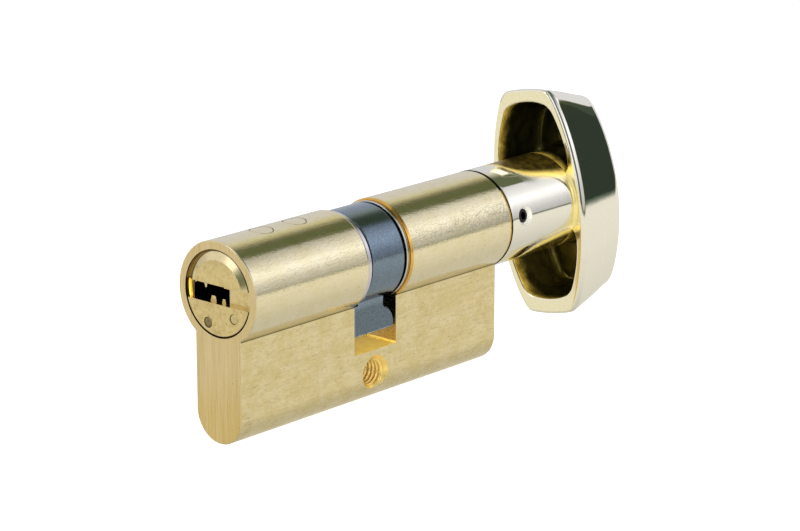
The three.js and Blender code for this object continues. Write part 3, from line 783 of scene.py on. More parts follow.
# ------------------------------------------------------------------ housing
def euro_profile(d=0.0, na=224, nb=72):
    r, w = BARREL_R - d, WEB - d
    a0 = math.atan2(-math.sqrt(r * r - w * w), w)
    a1 = PI - a0
    pts = [(r * math.cos(a0 + (a1 - a0) * i / na), r * math.sin(a0 + (a1 - a0) * i / na)) for i in range(na + 1)]
    zc = BOTTOM + WEB
    pts += [(w * math.cos(PI + PI * i / nb), zc + w * math.sin(PI + PI * i / nb)) for i in range(nb + 1)]
    return pts


def screw_thread_cutter():
    n, pitch = 72, 0.8
    ys = np.arange(-5.7, 5.7001, pitch / 12)
    verts, faces = [], []
    for y in ys:
        for i in range(n):
            a = 2 * PI * i / n
            t = (y / pitch - a / (2 * PI)) % 1.0
            h = 1 - abs(2 * t - 1)
            r = 2.07 + 0.43 * min(1.0, max(0.0, (h - 0.14) / 0.74))
            r = max(r, 3.05 - (5.0 - abs(y)))
            verts.append((r * math.cos(a), y, SCREW_Z + r * math.sin(a)))
    m = len(ys)
    for k in range(m - 1):
        for i in range(n):
            j = (i + 1) % n
            faces.append((k * n + i, (k + 1) * n + i, (k + 1) * n + j, k * n + j))
    verts += [(0, ys[0], SCREW_Z), (0, ys[-1], SCREW_Z)]
    a, b = len(verts) - 2, len(verts) - 1
    for i in range(n):
        j = (i + 1) % n
        faces.append((a, i, j))
        faces.append((b, (m - 1) * n + j, (m - 1) * n + i))
    return new_obj("cut_thread", verts, faces)


def housing_piece():
    rings = []
    for x, d in ((FRONT, 0.16), (FRONT + 0.06, 0.06), (FRONT + 0.16, 0.0), (REAR - 0.16, 0.0), (REAR - 0.06, 0.06), (REAR, 0.16)):
        rings.append([(x, y, z) for y, z in euro_profile(d)])
    ob = loft("housing_body", rings)
    f = SLOT_FLOOR
    slot = rounded([(-SLOT, 12), (-SLOT, f), (SLOT, f), (SLOT, 12)], [0, 0.35, 0.35, 0], 6)
    boolean(ob, prism_y("c", slot, -12, 12))
    bores = [
        lathe("a", [(0, FRONT - 1), (7.1, FRONT - 1), (7.1, FRONT), (7.0, FRONT + 0.10), (7.0, FRONT + 0.6), (BORE, FRONT + 0.65), (BORE, -5.25), (7.12, -5.0), (7.12, -4.5), (0, -4.5)], n=192),
        lathe("b", [(0, 4.5), (7.12, 4.5), (7.12, 5.0), (BORE, 5.25), (BORE, REAR - 0.11), (7.06, REAR), (7.06, REAR + 1), (0, REAR + 1)], n=192),
    ]
    boolean(ob, join("bores", bores))
    # broken edges where the barrel ends at the slot
    rings = []
    for s in (-1, 1):
        prof = [(8.24, s * 4.94), (8.515, s * 5.46), (8.56, s * 5.46), (8.56, s * 4.94)]
        rings.append(lathe("r", prof, n=224, phase=math.atan2(-math.sqrt(BARREL_R ** 2 - 25), 5)))
    boolean(ob, join("rings", rings))
    holes = [lathe("h", [(0, -26), (1.45, -26), (1.45, -6), (0, -6)], "z", 48, (x, 0, 0)) for x in CHAMBERS + [FRICTION_X]]
    holes += [lathe("h", [(0, 5), (TOP_R + 0.10, 5), (TOP_R + 0.10, 9), (0, 9)], "z", 72, (x, TOP_Y, 0)) for x in TOP_X]
    boolean(ob, join("holes", holes))
    boolean(ob, screw_thread_cutter())
    probe = turned_normals("x")

    def analytic(c, n):
        r = math.hypot(c[1], c[2])
        if (6.8 < r < 8.6) and c[2] > -7.2:
            return probe(c, n)
        return None

    def pick(c, n):
        """Cut surfaces: the thread, the slot and the bores."""
        h = math.hypot(c[0], c[2] - SCREW_Z)
        if h < 3.2 and abs(c[1]) < 4.99 and n[0] * c[0] + n[2] * (c[2] - SCREW_Z) < -0.2 * h:
            return 2
        r = math.hypot(c[1], c[2])
        if abs(n[0]) < 0.9 and r < 7.25 and c[0] < FRONT + 1.5:
            return 3
        if abs(n[0]) < 0.6 and c[2] > -7.5 and r < 7.2 and c[0] > FRONT + 0.8:
            return 1
        if abs(c[0]) < SLOT + 0.02 and n[2] > 0.3 and c[2] > SLOT_FLOOR - 0.2 and c[2] < SLOT_FLOOR + 0.5:
            return 1
        return 0
    finish_piece(ob, "housing", [M_HOUSING, M_MILLED, M_THREAD, M_MOUTH], ["housing"], 28, analytic, pick)


housing_piece()


def flush_plug(name, x, y, r, z_in, surf, body, node, mat, up=1.0):
    """A pressed plug dressed flush with a curved surface, its rim just broken."""
    n = 72
    radii = [0.0, r * 0.4, r * 0.75, r - 0.1, r - 0.03, r]
    drop = [0, 0, 0, 0.0, 0.02, 0.07]
    verts, rings, faces = [], [], []
    for q, d in zip(radii, drop):
        if q == 0:
            rings.append([0])
            verts.append((x, y, surf(x, y) - up * d))
            continue
        ring = []
        for i in range(n):
            a = 2 * PI * i / n
            px, py = x + q * math.cos(a), y + q * math.sin(a)
            ring.append(len(verts))
            verts.append((px, py, surf(px, py) - up * d))
        rings.append(ring)
    ring = []
    for i in range(n):
        a = 2 * PI * i / n
        ring.append(len(verts))
        verts.append((x + r * math.cos(a), y + r * math.sin(a), z_in + up * 0.08))
    rings.append(ring)
    ring = []
    for i in range(n):
        a = 2 * PI * i / n
        ring.append(len(verts))
        verts.append((x + (r - 0.08) * math.cos(a), y + (r - 0.08) * math.sin(a), z_in))
    rings.append(ring)
    rings.append([len(verts)])
    verts.append((x, y, z_in))
    for A, B in zip(rings, rings[1:]):
        for i in range(n):
            j = (i + 1) % n
            if len(A) == 1:
                faces.append((A[0], B[i], B[j]))
            elif len(B) == 1:
                faces.append((A[i], B[0], A[j]))
            else:
                faces.append((A[i], B[i], B[j], A[j]))
    ob = new_obj(name, verts, faces)
    finish_piece(ob, body, [mat], [node], 40)


for i, x in enumerate(TOP_X):
    flush_plug(f"top_plug_{i + 1}", x, TOP_Y, TOP_R - 0.02, 7.03,
               lambda px, py: math.sqrt(BARREL_R ** 2 - py * py) - 0.012, "housing", f"top_chamber_plug_{i + 1}", M_HOUSING)
for i, x in enumerate(CHAMBERS + [FRICTION_X]):
    node = f"bottom_chamber_plug_{i + 1}" if i < 5 else "friction_chamber_plug"
    flush_plug(f"web_plug_{i + 1}", x, 0.0, 1.41, -22.6,
               lambda px, py: BOTTOM + WEB - math.sqrt(WEB ** 2 - py * py) + 0.012, "housing", node, M_HOUSING, -1.0)


# ------------------------------------------------------------------ pins and springs
SHEAR_KEY, SHEAR_DRIVER, DRIVER_LEN = -6.7, -6.98, 6.0
TIPS = [-1.05, -0.7, -1.3, -0.85, -1.15]
PR = 1.28


def arc(cx, cy, r, a0, a1, n):
    return [(cx + r * math.cos(math.radians(a0 + (a1 - a0) * i / n)), cy + r * math.sin(math.radians(a0 + (a1 - a0) * i / n))) for i in range(n + 1)]


def helix(name, x, radius, wire, z0, z1, turns, axis="z"):
    """Compression spring: closed end coils, open pitch between them."""
    per, sides = 40, 12
    n = int(turns * per)
    verts, faces = [], []
    z0, z1 = z0 + wire, z1 - wire
    for i in range(n + 1):
        t = i / n
        s = t * turns
        end = 1.0                                     # about one closed coil at each end
        lead = 2 * wire * 1.02
        free = (z1 - z0) - 2 * end * lead
        if s < end:
            z = z0 + lead * s / end
        elif s > turns - end:
            z = z1 - lead * (turns - s) / end
        else:
            z = z0 + lead + free * (s - end) / (turns - 2 * end)
        a = 2 * PI * s
        c = Vector((radius * math.cos(a), radius * math.sin(a), z))
        rad = Vector((math.cos(a), math.sin(a), 0))
        up = Vector((0, 0, 1))
        for k in range(sides):
            b = 2 * PI * k / sides
            verts.append(c + rad * (wire * math.cos(b)) + up * (wire * math.sin(b)))
    for i in range(n):
        for k in range(sides):
            j = (k + 1) % sides
            faces.append((i * sides + k, (i + 1) * sides + k, (i + 1) * sides + j, i * sides + j))
    faces.append(tuple(range(sides)))
    faces.append(tuple(n * sides + k for k in range(sides)))
    if axis == "x":
        verts = [(v[2], v[1], -v[0]) for v in verts]
    verts = [(v[0] + x, v[1], v[2]) for v in verts]
    return new_obj(name, verts, faces)


for i, x in enumerate(CHAMBERS):
    tip = TIPS[i]
    prof = [(0, SHEAR_KEY)] + [(PR - 0.2, SHEAR_KEY), (PR - 0.06, SHEAR_KEY + 0.05), (PR, SHEAR_KEY + 0.2), (PR, -3.95), (PR - 0.08, -3.85),
            (0.82, -3.58), (0.78, -3.5), (0.78, tip - 0.5), (0.7, tip - 0.36)] + arc(0, tip - 0.34, 0.34, 0, 90, 8)[1:-1] + [(0, tip)]
    finish_piece(lathe(f"key_pin_body_{i + 1}", prof, "z", 64, (x, 0, 0)), f"key_pin_{i + 1}", [M_PINBRASS], [f"key_pin_{i + 1}"], 35)
    t, b = SHEAR_DRIVER, SHEAR_DRIVER - DRIVER_LEN
    prof = [(0, b), (0.62, b), (0.7, b + 0.08), (0.75, b + 0.82), (0.8, b + 0.9), (PR - 0.08, b + 0.9), (PR, b + 0.98)]
    if i % 2 == 0:
        prof += [(PR, b + 1.85), (0.98, b + 2.25), (0.95, b + 2.35), (0.95, t - 1.55), (0.98, t - 1.45), (PR, t - 1.1)]
    prof += [(PR, t - 0.15), (PR - 0.05, t - 0.05), (PR - 0.15, t), (0, t)]
    finish_piece(lathe(f"driver_{i + 1}", prof, "z", 64, (x, 0, 0)), f"driver_pin_{i + 1}", [M_PIN], [f"driver_pin_{i + 1}"], 35)
    sp = helix(f"driver_coil_{i + 1}", x, 1.12, 0.16, -22.57, b + 0.86, 7.5)
    finish_piece(sp, "housing", [M_SPRING], [f"driver_spring_{i + 1}"], 50)
    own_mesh(sp)

prof = [(0, -11.5), (0.62, -11.5), (0.7, -11.4), (0.75, -10.68), (0.8, -10.6), (PR - 0.08, -10.6), (PR, -10.5), (PR, -7.6), (PR - 0.06, -7.45),
        (0.95, -7.12), (0.6, -7.01), (0, -6.97)]
finish_piece(lathe("friction_pin_body", prof, "z", 64, (FRICTION_X, 0, 0)), "friction_pin", [M_PINBRASS], ["friction_pin"], 35)
sp = helix("friction_coil", FRICTION_X, 1.12, 0.16, -22.57, -10.64, 8.5)
finish_piece(sp, "housing", [M_SPRING], ["friction_spring"], 50)
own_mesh(sp)


# ------------------------------------------------------------------ keyed plug
def key_plug_piece():
    ob = lathe("key_plug_body", [(0, FRONT), (PLUG - 0.13, FRONT), (PLUG - 0.05, FRONT + 0.08), (PLUG, FRONT + 0.3), (PLUG, -5.06), (PLUG - 0.06, -5.0), (5.95, -5.0), (5.95, -4.2),
               (6.3, -4.2), (6.4, -4.1), (6.4, -1.25), (6.3, -1.15), (0, -1.15)], n=192)
    cone = lathe("cone", [(5.4, FRONT), (7.6, FRONT + 0.823), (7.6, FRONT - 0.5), (5.4, FRONT - 0.5)], n=192)
    boolean(cone, block("k", FRONT - 1, FRONT + 1.5, -9, 9, 1.35, 9), "INTERSECT")
    boolean(ob, cone)
    boolean(ob, block("k", FRONT - 1, FRONT + 1.0, -9, 9, -1.65, 1.35))
    lo, hi = -1.65, 1.35
    way = [(-1.73, lo), (-0.87, lo), (-0.72, -0.95), (-0.2, -0.95), (-0.02, lo), (1.2, lo), (1.4, -0.78), (2.2, -0.78), (2.5, lo), (6.15, lo),
           (6.15, hi), (5.95, hi), (5.85, 0.75), (5.6, 0.75), (5.5, hi), (3.95, hi), (3.65, 0.27), (3.35, 0.27), (3.1, hi), (-0.35, hi),
           (-0.5, 0.8), (-1.73, 0.8)]
    rad = [0.1, 0.05, 0.16, 0.16, 0.05, 0.05, 0.22, 0.22, 0.05, 0.1, 0.1, 0.03, 0.08, 0.08, 0.03, 0.03, 0.12, 0.12, 0.03, 0.05, 0.05, 0.1]
    boolean(ob, prism_x("k", rounded(way, rad, 4), FRONT + 0.5, -6.0))
    boolean(ob, block("k", -6.5, -3.0, -1.7, 3.0, -1.6, 0.75))
    boolean(ob, block("k", -3.45, -1.0, -1.6, 1.6, -8, 8))
    holes = [lathe("h", [(0, -8), (1.35, -8), (1.35, -2.3), (0.88, -2.3), (0.88, -0.8), (0, -0.8)], "z", 48, (x, 0, 0)) for x in CHAMBERS]
    for y, z, r in ((2.14, -4.95, 0.85), (-3.44, -3.45, 0.78)):
        holes.append(lathe("h", [(0, FRONT - 1), (r + 0.04, FRONT - 1), (r + 0.04, FRONT + 4.1), (0, FRONT + 4.1)], "x", 48, (0, y, z)))
    boolean(ob, join("holes", holes))
    probe = turned_normals("x")

    def analytic(c, n):
        r = math.hypot(c[1], c[2])
        return probe(c, n) if r > 5.3 else None
    finish_piece(ob, "key_plug", [M_PLUG], ["key_plug"], 28, analytic)


key_plug_piece()
for i, (y, z, r, m) in enumerate(((2.14, -4.95, 0.85, M_DRILL), (-3.44, -3.45, 0.78, M_DRILL2))):
    prof = [(0, FRONT + 0.03), (r * 0.6, FRONT + 0.04), (r - 0.1, FRONT + 0.05), (r - 0.02, FRONT + 0.12), (r, FRONT + 0.2), (r, FRONT + 3.9), (r - 0.1, FRONT + 4.0), (0, FRONT + 4.0)]
    finish_piece(lathe(f"plug_pin_{i + 1}", prof, "x", 48, (0, y, z)), "key_plug", [m], [f"plug_drill_pin_{i + 1}"], 40)


# ------------------------------------------------------------------ circlips
def circlip(name, x0, x1, body, node, mat):
    half, mid = math.radians(26), 0.2
    rings = []
    for x, d in ((x0, 0.07), (x0 + 0.03, 0.02), (x0 + 0.08, 0), (x1 - 0.08, 0), (x1 - 0.03, 0.02), (x1, 0.07)):
        pts, n = [], 150
        dh = d / 8.0
        for i in range(n + 1):
            a = mid + half + dh + (2 * PI - 2 * half - 2 * dh) * i / n
            pts.append((x, (8.2 - d) * math.cos(a), (8.2 - d) * math.sin(a)))
        for i in range(n, -1, -1):
            a = mid + half + dh + (2 * PI - 2 * half - 2 * dh) * i / n
            pts.append((x, (6.0 + d) * math.cos(a), (6.0 + d) * math.sin(a)))
        rings.append(pts)
    probe = turned_normals("x")
    finish_piece(loft(name, rings), body, [mat], [node], 25, lambda c, n: probe(c, n) if abs(n[0]) < 0.2 else None)


circlip("front_ring", -4.97, -4.24, "key_plug", "front_circlip", M_RING)
circlip("rear_ring", 4.24, 4.97, "thumbturn", "rear_circlip", M_RING2)


# ------------------------------------------------------------------ cam and couplers
CAM_R = 8.05


def cam_piece():
    ch = 0.2
    ring = lathe("cam_body", [(0, -3.8), (CAM_R - ch, -3.8), (CAM_R - 0.04, -3.8 + 0.05), (CAM_R, -3.8 + ch), (CAM_R, 3.8 - ch), (CAM_R - 0.04, 3.75), (CAM_R - ch, 3.8), (0, 3.8)], n=192)
    pts = [(-4.7, -5.2), (-4.7, -12.3), (4.9, -12.3), (4.9, -11.0), (4.5, -9.9), (3.75, -8.95), (3.0, -8.4), (2.35, -8.2), (2.35, -5.2)]
    outline = rounded(pts, [0, 0.42, 0.5, 1.2, 1.2, 1.2, 0.7, 0.4, 0], 6)
    # the lug's long edges are rounded: inset the outline near both faces
    rings = []
    cx, cz = 0.0, -9.0
    for y, d in ((-4.72, 0.30), (-4.67, 0.16), (-4.56, 0.05), (-4.4, 0.0), (4.4, 0.0), (4.56, 0.05), (4.67, 0.16), (4.72, 0.30)):
        n = len(outline)
        ring_pts = []
        for i, p in enumerate(outline):
            a, b = Vector(outline[i - 1]), Vector(outline[(i + 1) % n])
            tan = (b - a)
            nrm = Vector((-tan.y, tan.x))
            if nrm.length < 1e-9:
                nrm = Vector((0, 0.001))
            nrm.normalize()
            q = Vector(p)
            if nrm.dot(Vector((cx, cz)) - q) < 0:
                nrm = -nrm
            if p[1] > -5.4:
                nrm = Vector((0, 0))
            q = q + nrm * d
            ring_pts.append((q.x, y, q.y))
        rings.append(ring_pts)
    lug = loft("lug", rings)
    boolean(lug, lathe("k", [(0, -6), (8.45, -6), (8.45, -3.8), (0, -3.8)], n=192))
    boolean(lug, lathe("k", [(0, 3.8), (8.45, 3.8), (8.45, 6), (0, 6)], n=192))
    boolean(ring, lug, "UNION")
    boolean(ring, lathe("k", [(0, -5), (6.5, -5), (6.5, -1.1), (4.6, -1.1), (4.6, 1.1), (6.5, 1.1), (6.5, 5), (0, 5)], n=160))
    boolean(ring, block("k", -1.5, 1.5, -1.7, 1.7, -6.4, 6.4))
    probe = turned_normals("x")

    def analytic(c, n):
        r = math.hypot(c[1], c[2])
        return probe(c, n) if abs(r - CAM_R) < 0.2 and abs(c[0]) < 3.82 else None
    finish_piece(ring, "cam", [M_CAM], ["cam"], 28, analytic)


cam_piece()


def coupler(name, x0, spigot, body, node):
    pts = rounded([(-1.5, -6.2), (1.5, -6.2), (1.5, 6.2), (-1.5, 6.2)], 0.38, 6)
    rings = []
    for x, d in ((x0, 0.12), (x0 + 0.05, 0.04), (x0 + 0.12, 0), (x0 + 1.88, 0), (x0 + 1.95, 0.04), (x0 + 2.0, 0.12)):
        rings.append([(x, y * (1.5 - d) / 1.5, z * (6.2 - d) / 6.2) for y, z in pts])
    ob = loft(name, rings)
    if spigot:
        boolean(ob, lathe("s", [(0, x0 + 1.5), (0.75, x0 + 1.5), (0.75, x0 + 2.9), (0.65, x0 + 3.0), (0, x0 + 3.0)], "x", 48), "UNION")
    finish_piece(ob, body, [M_COUPLER], [node], 30)


coupler("key_coupler_plate", -3.2, False, "key_coupler", "key_coupler")
coupler("thumbturn_coupler_plate", -1.0, True, "thumbturn_coupler", "thumbturn_coupler")
sp = helix("coupler_coil", 1.1, 1.1, 0.17, 0.0, 10.7, 9.5, "x")
finish_piece(sp, "thumbturn", [M_SPRING], ["coupler_spring"], 50)
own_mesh(sp)


# ------------------------------------------------------------------ thumbturn rotor
def turn_x(points, ang):
    c, s = math.cos(ang), math.sin(ang)
    return [(p[0], p[1] * c - p[2] * s, p[1] * s + p[2] * c) for p in points]


def rotate_mesh(ob, ang):
    ob.data.transform(Matrix.Rotation(ang, 4, "X"))
    return ob


def rotor_piece():
    ob = lathe("rotor_body", [(0, 1.15), (6.3, 1.15), (6.4, 1.25), (6.4, 4.1), (6.3, 4.2), (5.95, 4.2), (5.95, 5.0), (PLUG - 0.06, 5.0), (PLUG, 5.06),
               (PLUG, REAR + 0.04), (PLUG - 0.06, REAR + 0.1), (5.0, REAR + 0.1), (5.0, 42.6), (4.6, 43.0), (0, 43.0)], n=160)
    boolean(ob, block("k", 1.0, 3.45, -1.6, 1.6, -8, 8))
    boolean(ob, lathe("k", [(0, 3.0), (1.5, 3.0), (1.5, 11.6), (0, 12.0)], "x", 48))
    boolean(ob, rotate_mesh(block("k", 32.2, 36.6, -8, -4.2, -8, 8), KNOB_TURN))
    probe = turned_normals("x")
    finish_piece(ob, "thumbturn", [M_PLUG], ["thumbturn_rotor"], 28, lambda c, n: probe(c, n) if math.hypot(c[1], c[2]) > 4.4 else None)


rotor_piece()

# ------------------------------------------------------------------ knob
# half outline of the head at its widest, and of the pocket in the rim face, as (half width, height)
RIM = [(9.95, 0), (9.76, 4.24), (9.16, 8.58), (8.53, 11.49), (7.79, 14.1), (6.97, 16.35), (6.3, 17.77), (5.53, 18.86), (4.53, 19.52), (2.32, 19.78), (0, 19.86)]
POCKET = [(7.6, 6.9), (7.58, 7.7), (7.4, 9.2), (6.9, 11.4), (6.2, 13.5), (5.5, 15.2), (4.9, 16.1), (3.85, 16.9), (2.0, 17.4), (0, 17.55)]
RIM_X, HEAD_END = 48.1, 60.5


def quarter_to_full(q):
    """First quarter, from (w, 0) up to (0, h), to a closed outline."""
    up = list(q)
    out = up + [(-y, z) for y, z in reversed(up[:-1])]
    out += [(-y, -z) for y, z in up[1:]]
    out += [(y, -z) for y, z in reversed(up[1:-1])]
    return out


def outward(pts, i):
    a, b = pts[i - 1], pts[(i + 1) % len(pts)]
    n = Vector((b[1] - a[1], a[0] - b[0]))
    return n.normalized() if n.length > 1e-9 else Vector((0, 0))


def turn_back(p):
    return turn_x([tuple(p)], -KNOB_TURN)[0]


def runout_half(x):
    if x <= RUNOUT[0][0]:
        return -6.0 * (RUNOUT[0][0] - x)
    for (xa, va), (xb, vb) in zip(RUNOUT, RUNOUT[1:]):
        if x <= xb:
            return va + (vb - va) * (x - xa) / (xb - xa)
    return RUNOUT[-1][1]


def ease(t):
    t = min(1.0, max(0.0, t))
    return t * t * (3 - 2 * t)


def cast_mask(x, dev):
    """1 on the cast skin of the stem, 0 on the polished part; dev is degrees from upright."""
    side = (runout_half(x) - dev) * 8.55 * PI / 180
    lead = (x - RUNOUT[0][0])
    return ease(0.5 + min(side, lead) / 1.5)


def knob_piece():
    ext = [(RIM[1][0], -RIM[1][1])] + RIM + [(-RIM[-2][0], RIM[-2][1])]
    q = smooth_curve(ext, 9)[9:-9]
    q[0], q[-1] = RIM[0], RIM[-1]
    outline = quarter_to_full(q)
    n = len(outline)
    norm = [outward(outline, i) for i in range(n)]
    roll = [0.45 + 0.45 * abs(m.x) ** 1.2 for m in norm]      # rear edge radius: larger on the sides
    def low(p, t):
        return p[1] * (1 + 0.02 * (1 - t)) if p[1] < 0 else p[1]
    rings = []
    for k in range(11):
        a = k / 10 * PI / 2
        rings.append([(RIM_X + r * (1 - math.cos(a)), p[0] - m.x * r * (1 - math.sin(a)), low(p, 0) - m.y * r * (1 - math.sin(a)))
                      for p, m, r in zip(outline, norm, roll)])
    y1, z1, x1 = 0.957, 0.873, 58.2
    for k in range(1, 21):
        t = k / 20
        sy, sz = 1 + (y1 - 1) * t + 0.005 * math.sin(PI * t), 1 + (z1 - 1) * t + 0.005 * math.sin(PI * t)
        rings.append([(RIM_X + r + (x1 - RIM_X - r) * t, p[0] * sy, low(p, t) * sz) for p, r in zip(outline, roll)])
    far = [(p[0] * y1, p[1] * z1) for p in outline]
    fn = [outward(far, i) for i in range(n)]
    # the taper runs on into a rolled front edge
    for k in range(1, 17):
        a = k / 16 * PI / 2
        drop = 1.75 * (1 - math.cos(a)) + 0.18 * math.sin(a)
        rings.append([(x1 + (HEAD_END - 0.12 - x1) * math.sin(a), p[0] - m.x * drop * (0.75 + 0.25 * abs(m.y)), p[1] - m.y * drop) for p, m in zip(far, fn)])
    last = [(p[1], p[2]) for p in rings[-1]]
    for s in (0.8, 0.55, 0.3, 0.1):
        rings.append([(HEAD_END - 0.12 * s * s, y * s, z * s) for y, z in last])
    head = loft("knob_body", rings)
    # pockets: drafted, with a rolled mouth and a rolled floor; the stem is their inner wall
    ext = POCKET + [(-POCKET[-2][0], POCKET[-2][1])]
    pq = smooth_curve([(7.6, 6.2)] + ext, 7)[7:-7]
    pq[-1] = (0.0, 17.55)
    half = pq + [(-y, z) for y, z in reversed(pq[:-1])]
    foot = [(-7.55, 6.3), (-7.4, 5.75), (-7.1, 5.3), (-6.75, 5.0), (-6.4, 4.75)]
    a_in = math.radians(38)
    inner = [(7.6 * math.cos(PI - (a_in + (PI - 2 * a_in) * i / 24)), 7.6 * math.sin(PI - (a_in + (PI - 2 * a_in) * i / 24))) for i in range(25)]
    poly = half + foot + inner + [(-y, z) for y, z in reversed(foot)]
    m = len(poly)
    pn = [outward(poly, i) for i in range(m)]
    for side in (1, -1):
        rings = []
        steps = [(46.9, 0.36, 1.0)] + [(48.46 - 0.36 * math.cos(k / 6 * PI / 2), 0.36 * (1 - math.sin(k / 6 * PI / 2)), 1.0) for k in range(7)]
        steps += [(50.0, 0.0, 0.995), (51.6, 0.0, 0.985), (53.0, 0.0, 0.965), (54.2, 0.0, 0.935), (55.2, 0.0, 0.893), (56.0, 0.0, 0.84), (56.6, 0.0, 0.775), (57.0, 0.0, 0.70), (57.25, 0.0, 0.61)]
        for x, grow, sc in steps:
            rings.append([(x, (p[0] + nn.x * grow) * sc * side, (12.5 + (p[1] + nn.y * grow - 12.5) * sc) * side) for p, nn in zip(poly, pn)])
        boolean(head, loft("p", rings))
    # stem: round, with the cast skin a touch lower than the polished part and a fillet where it meets the rim
    xs = [30.9, 30.93, 31.0, 31.12] + list(np.arange(31.6, 35.4, 0.5)) + list(np.arange(35.6, 47.4, 0.2)) + [47.5, 47.58, 47.66, 47.74, 47.81, 47.88, 47.94, 48.0, 48.05, 48.09, 48.12, 48.3, 48.6, 49.5, 51, 53, 55, 57, 58.6]
    na = 288
    rings = []
    for x in xs:
        ring = []
        for i in range(na):
            a = 2 * PI * i / na
            up = abs(math.sin(a))
            dev = math.degrees(math.acos(min(1.0, up)))
            r = 8.55
            r -= {30.9: 0.2, 30.93: 0.1, 31.0: 0.03}.get(x, 0.0)
            r -= 0.004 * cast_mask(x, dev)
            w = ease((dev - 52.0) / 9.0)
            t = (x - 47.5) / 0.62
            if t > 0:
                t = min(1.0, t)
                r += w * 0.62 * (1 - math.sqrt(max(0.0, 1 - t * t)))
            ring.append((x, r * math.cos(a), r * math.sin(a)))
        rings.append(ring)
    boolean(head, loft("s", rings), "UNION")
    boolean(head, lathe("k", [(0, 29.9), (5.3, 29.9), (5.3, 30.9), (5.06, 31.15), (5.06, 43.3), (0, 43.6)], "x", 96))
    hole = [(0, 4.0), (1.17, 4.0), (1.17, 7.86), (1.20, 7.96), (1.38, 8.20), (1.62, 8.42), (1.84, 8.60), (1.84, 9.6), (0, 9.6)]
    h = lathe("k", hole, "z", 64)
    h.data.transform(Matrix.Translation((34.4, 0, 0)) @ Matrix.Rotation(PI / 2, 4, "X"))
    boolean(head, h)
    rotate_mesh(head, KNOB_TURN)

    def pick(c, n):
        u, nn = turn_back(c), turn_back(n)
        r = math.hypot(u[1], u[2])
        if 30.5 < c[0] < 43.7 and r < 5.2:
            return 1
        if 6.5 < r < 8.56 and u[1] < 0 and 1.18 < math.hypot(c[0] - 34.4, u[2]) < 1.86 and abs(nn[2] * u[2] + nn[0] * (c[0] - 34.4)) > 0.6:
            return 2
        if r < 8.62 and c[0] < 48.3:
            return 0
        if 48.2 < c[0] < 57.9 and abs(u[2]) > 4.6 and abs(u[1]) < 7.85 and abs(u[2]) < 17.9:
            if r < 8.6:
                return 1
            cz = 11.0 if u[2] > 0 else -11.0
            to = Vector((51.0 - u[0], -u[1], cz - u[2]))
            return 1 if to.dot(Vector(nn)) > 0 else 0
        return 0
    finish_piece(head, "thumbturn", [M_KNOB, M_POCKET, M_SEAT], ["knob"], 36, None, pick)


knob_piece()


def grub_screw():
    prof = [(0, 4.5), (0.7, 4.5), (0.85, 4.7), (0.98, 4.9)]
    y = 5.0
    while y < 7.3:
        prof += [(0.94, y), (1.14, y + 0.22), (1.14, y + 0.28)]
        y += 0.5
    prof += [(1.12, 7.55), (1.12, 7.86), (1.06, 7.96), (0.96, 8.0), (0, 8.0)]
    ob = lathe("grub_screw_body", prof, "z", 64)
    hexa = [(0.66 * math.cos(PI / 3 * i), 0.72 * math.sin(PI / 3 * i)) for i in range(6)]
    sock = loft("h", [[(a, b, z) for a, b in [(p[0] * s, p[1] * s) for p in hexa]] for z, s in ((6.4, 0.96), (7.9, 1.0), (8.3, 1.16))])
    boolean(ob, sock)
    ob.data.transform(Matrix.Translation((34.4, 0, 0)) @ Matrix.Rotation(PI / 2, 4, "X"))
    rotate_mesh(ob, KNOB_TURN)
    finish_piece(ob, "thumbturn", [M_BLACK], ["knob_grub_screw"], 30)


grub_screw()


# ------------------------------------------------------------------ floor
def floor():
    me = bpy.data.meshes.new("floor")
    s, z = 1.6, -0.0001
    me.from_pydata([(-s, -s, z), (s, -s, z), (s, s, z), (-s, s, z)], [], [(0, 1, 2, 3)])
    ob = bpy.data.objects.new("floor", me)
    bpy.context.scene.collection.objects.link(ob)
    m = bpy.data.materials.new("floor_paper")
    m.use_nodes = True
    t = m.node_tree
    t.nodes.clear()
    out = t.nodes.new("ShaderNodeOutputMaterial")
    dif = t.nodes.new("ShaderNodeBsdfDiffuse")
    tc = t.nodes.new("ShaderNodeTexCoord")
    g = noise(t, tc.outputs["Object"], 900.0, 2, 0.6)
    t.links.new(mix(t, g * 0.05, (0.9, 0.9, 0.9), (0.86, 0.86, 0.86)), dif.inputs["Color"])
    em = t.nodes.new("ShaderNodeEmission")
    em.inputs["Color"].default_value = (1, 1, 1, 1)
    lp = t.nodes.new("ShaderNodeLightPath")
    em.inputs["Strength"].default_value = 1.0
    t.links.new((E(t, lp.outputs["Is Camera Ray"]) * 0.52).s, em.inputs["Strength"])
    ad = t.nodes.new("ShaderNodeAddShader")
    t.links.new(dif.outputs[0], ad.inputs[0])
    t.links.new(em.outputs[0], ad.inputs[1])
    t.links.new(ad.outputs[0], out.inputs["Surface"])
    me.materials.append(m)
    ob.visible_glossy = False


floor()


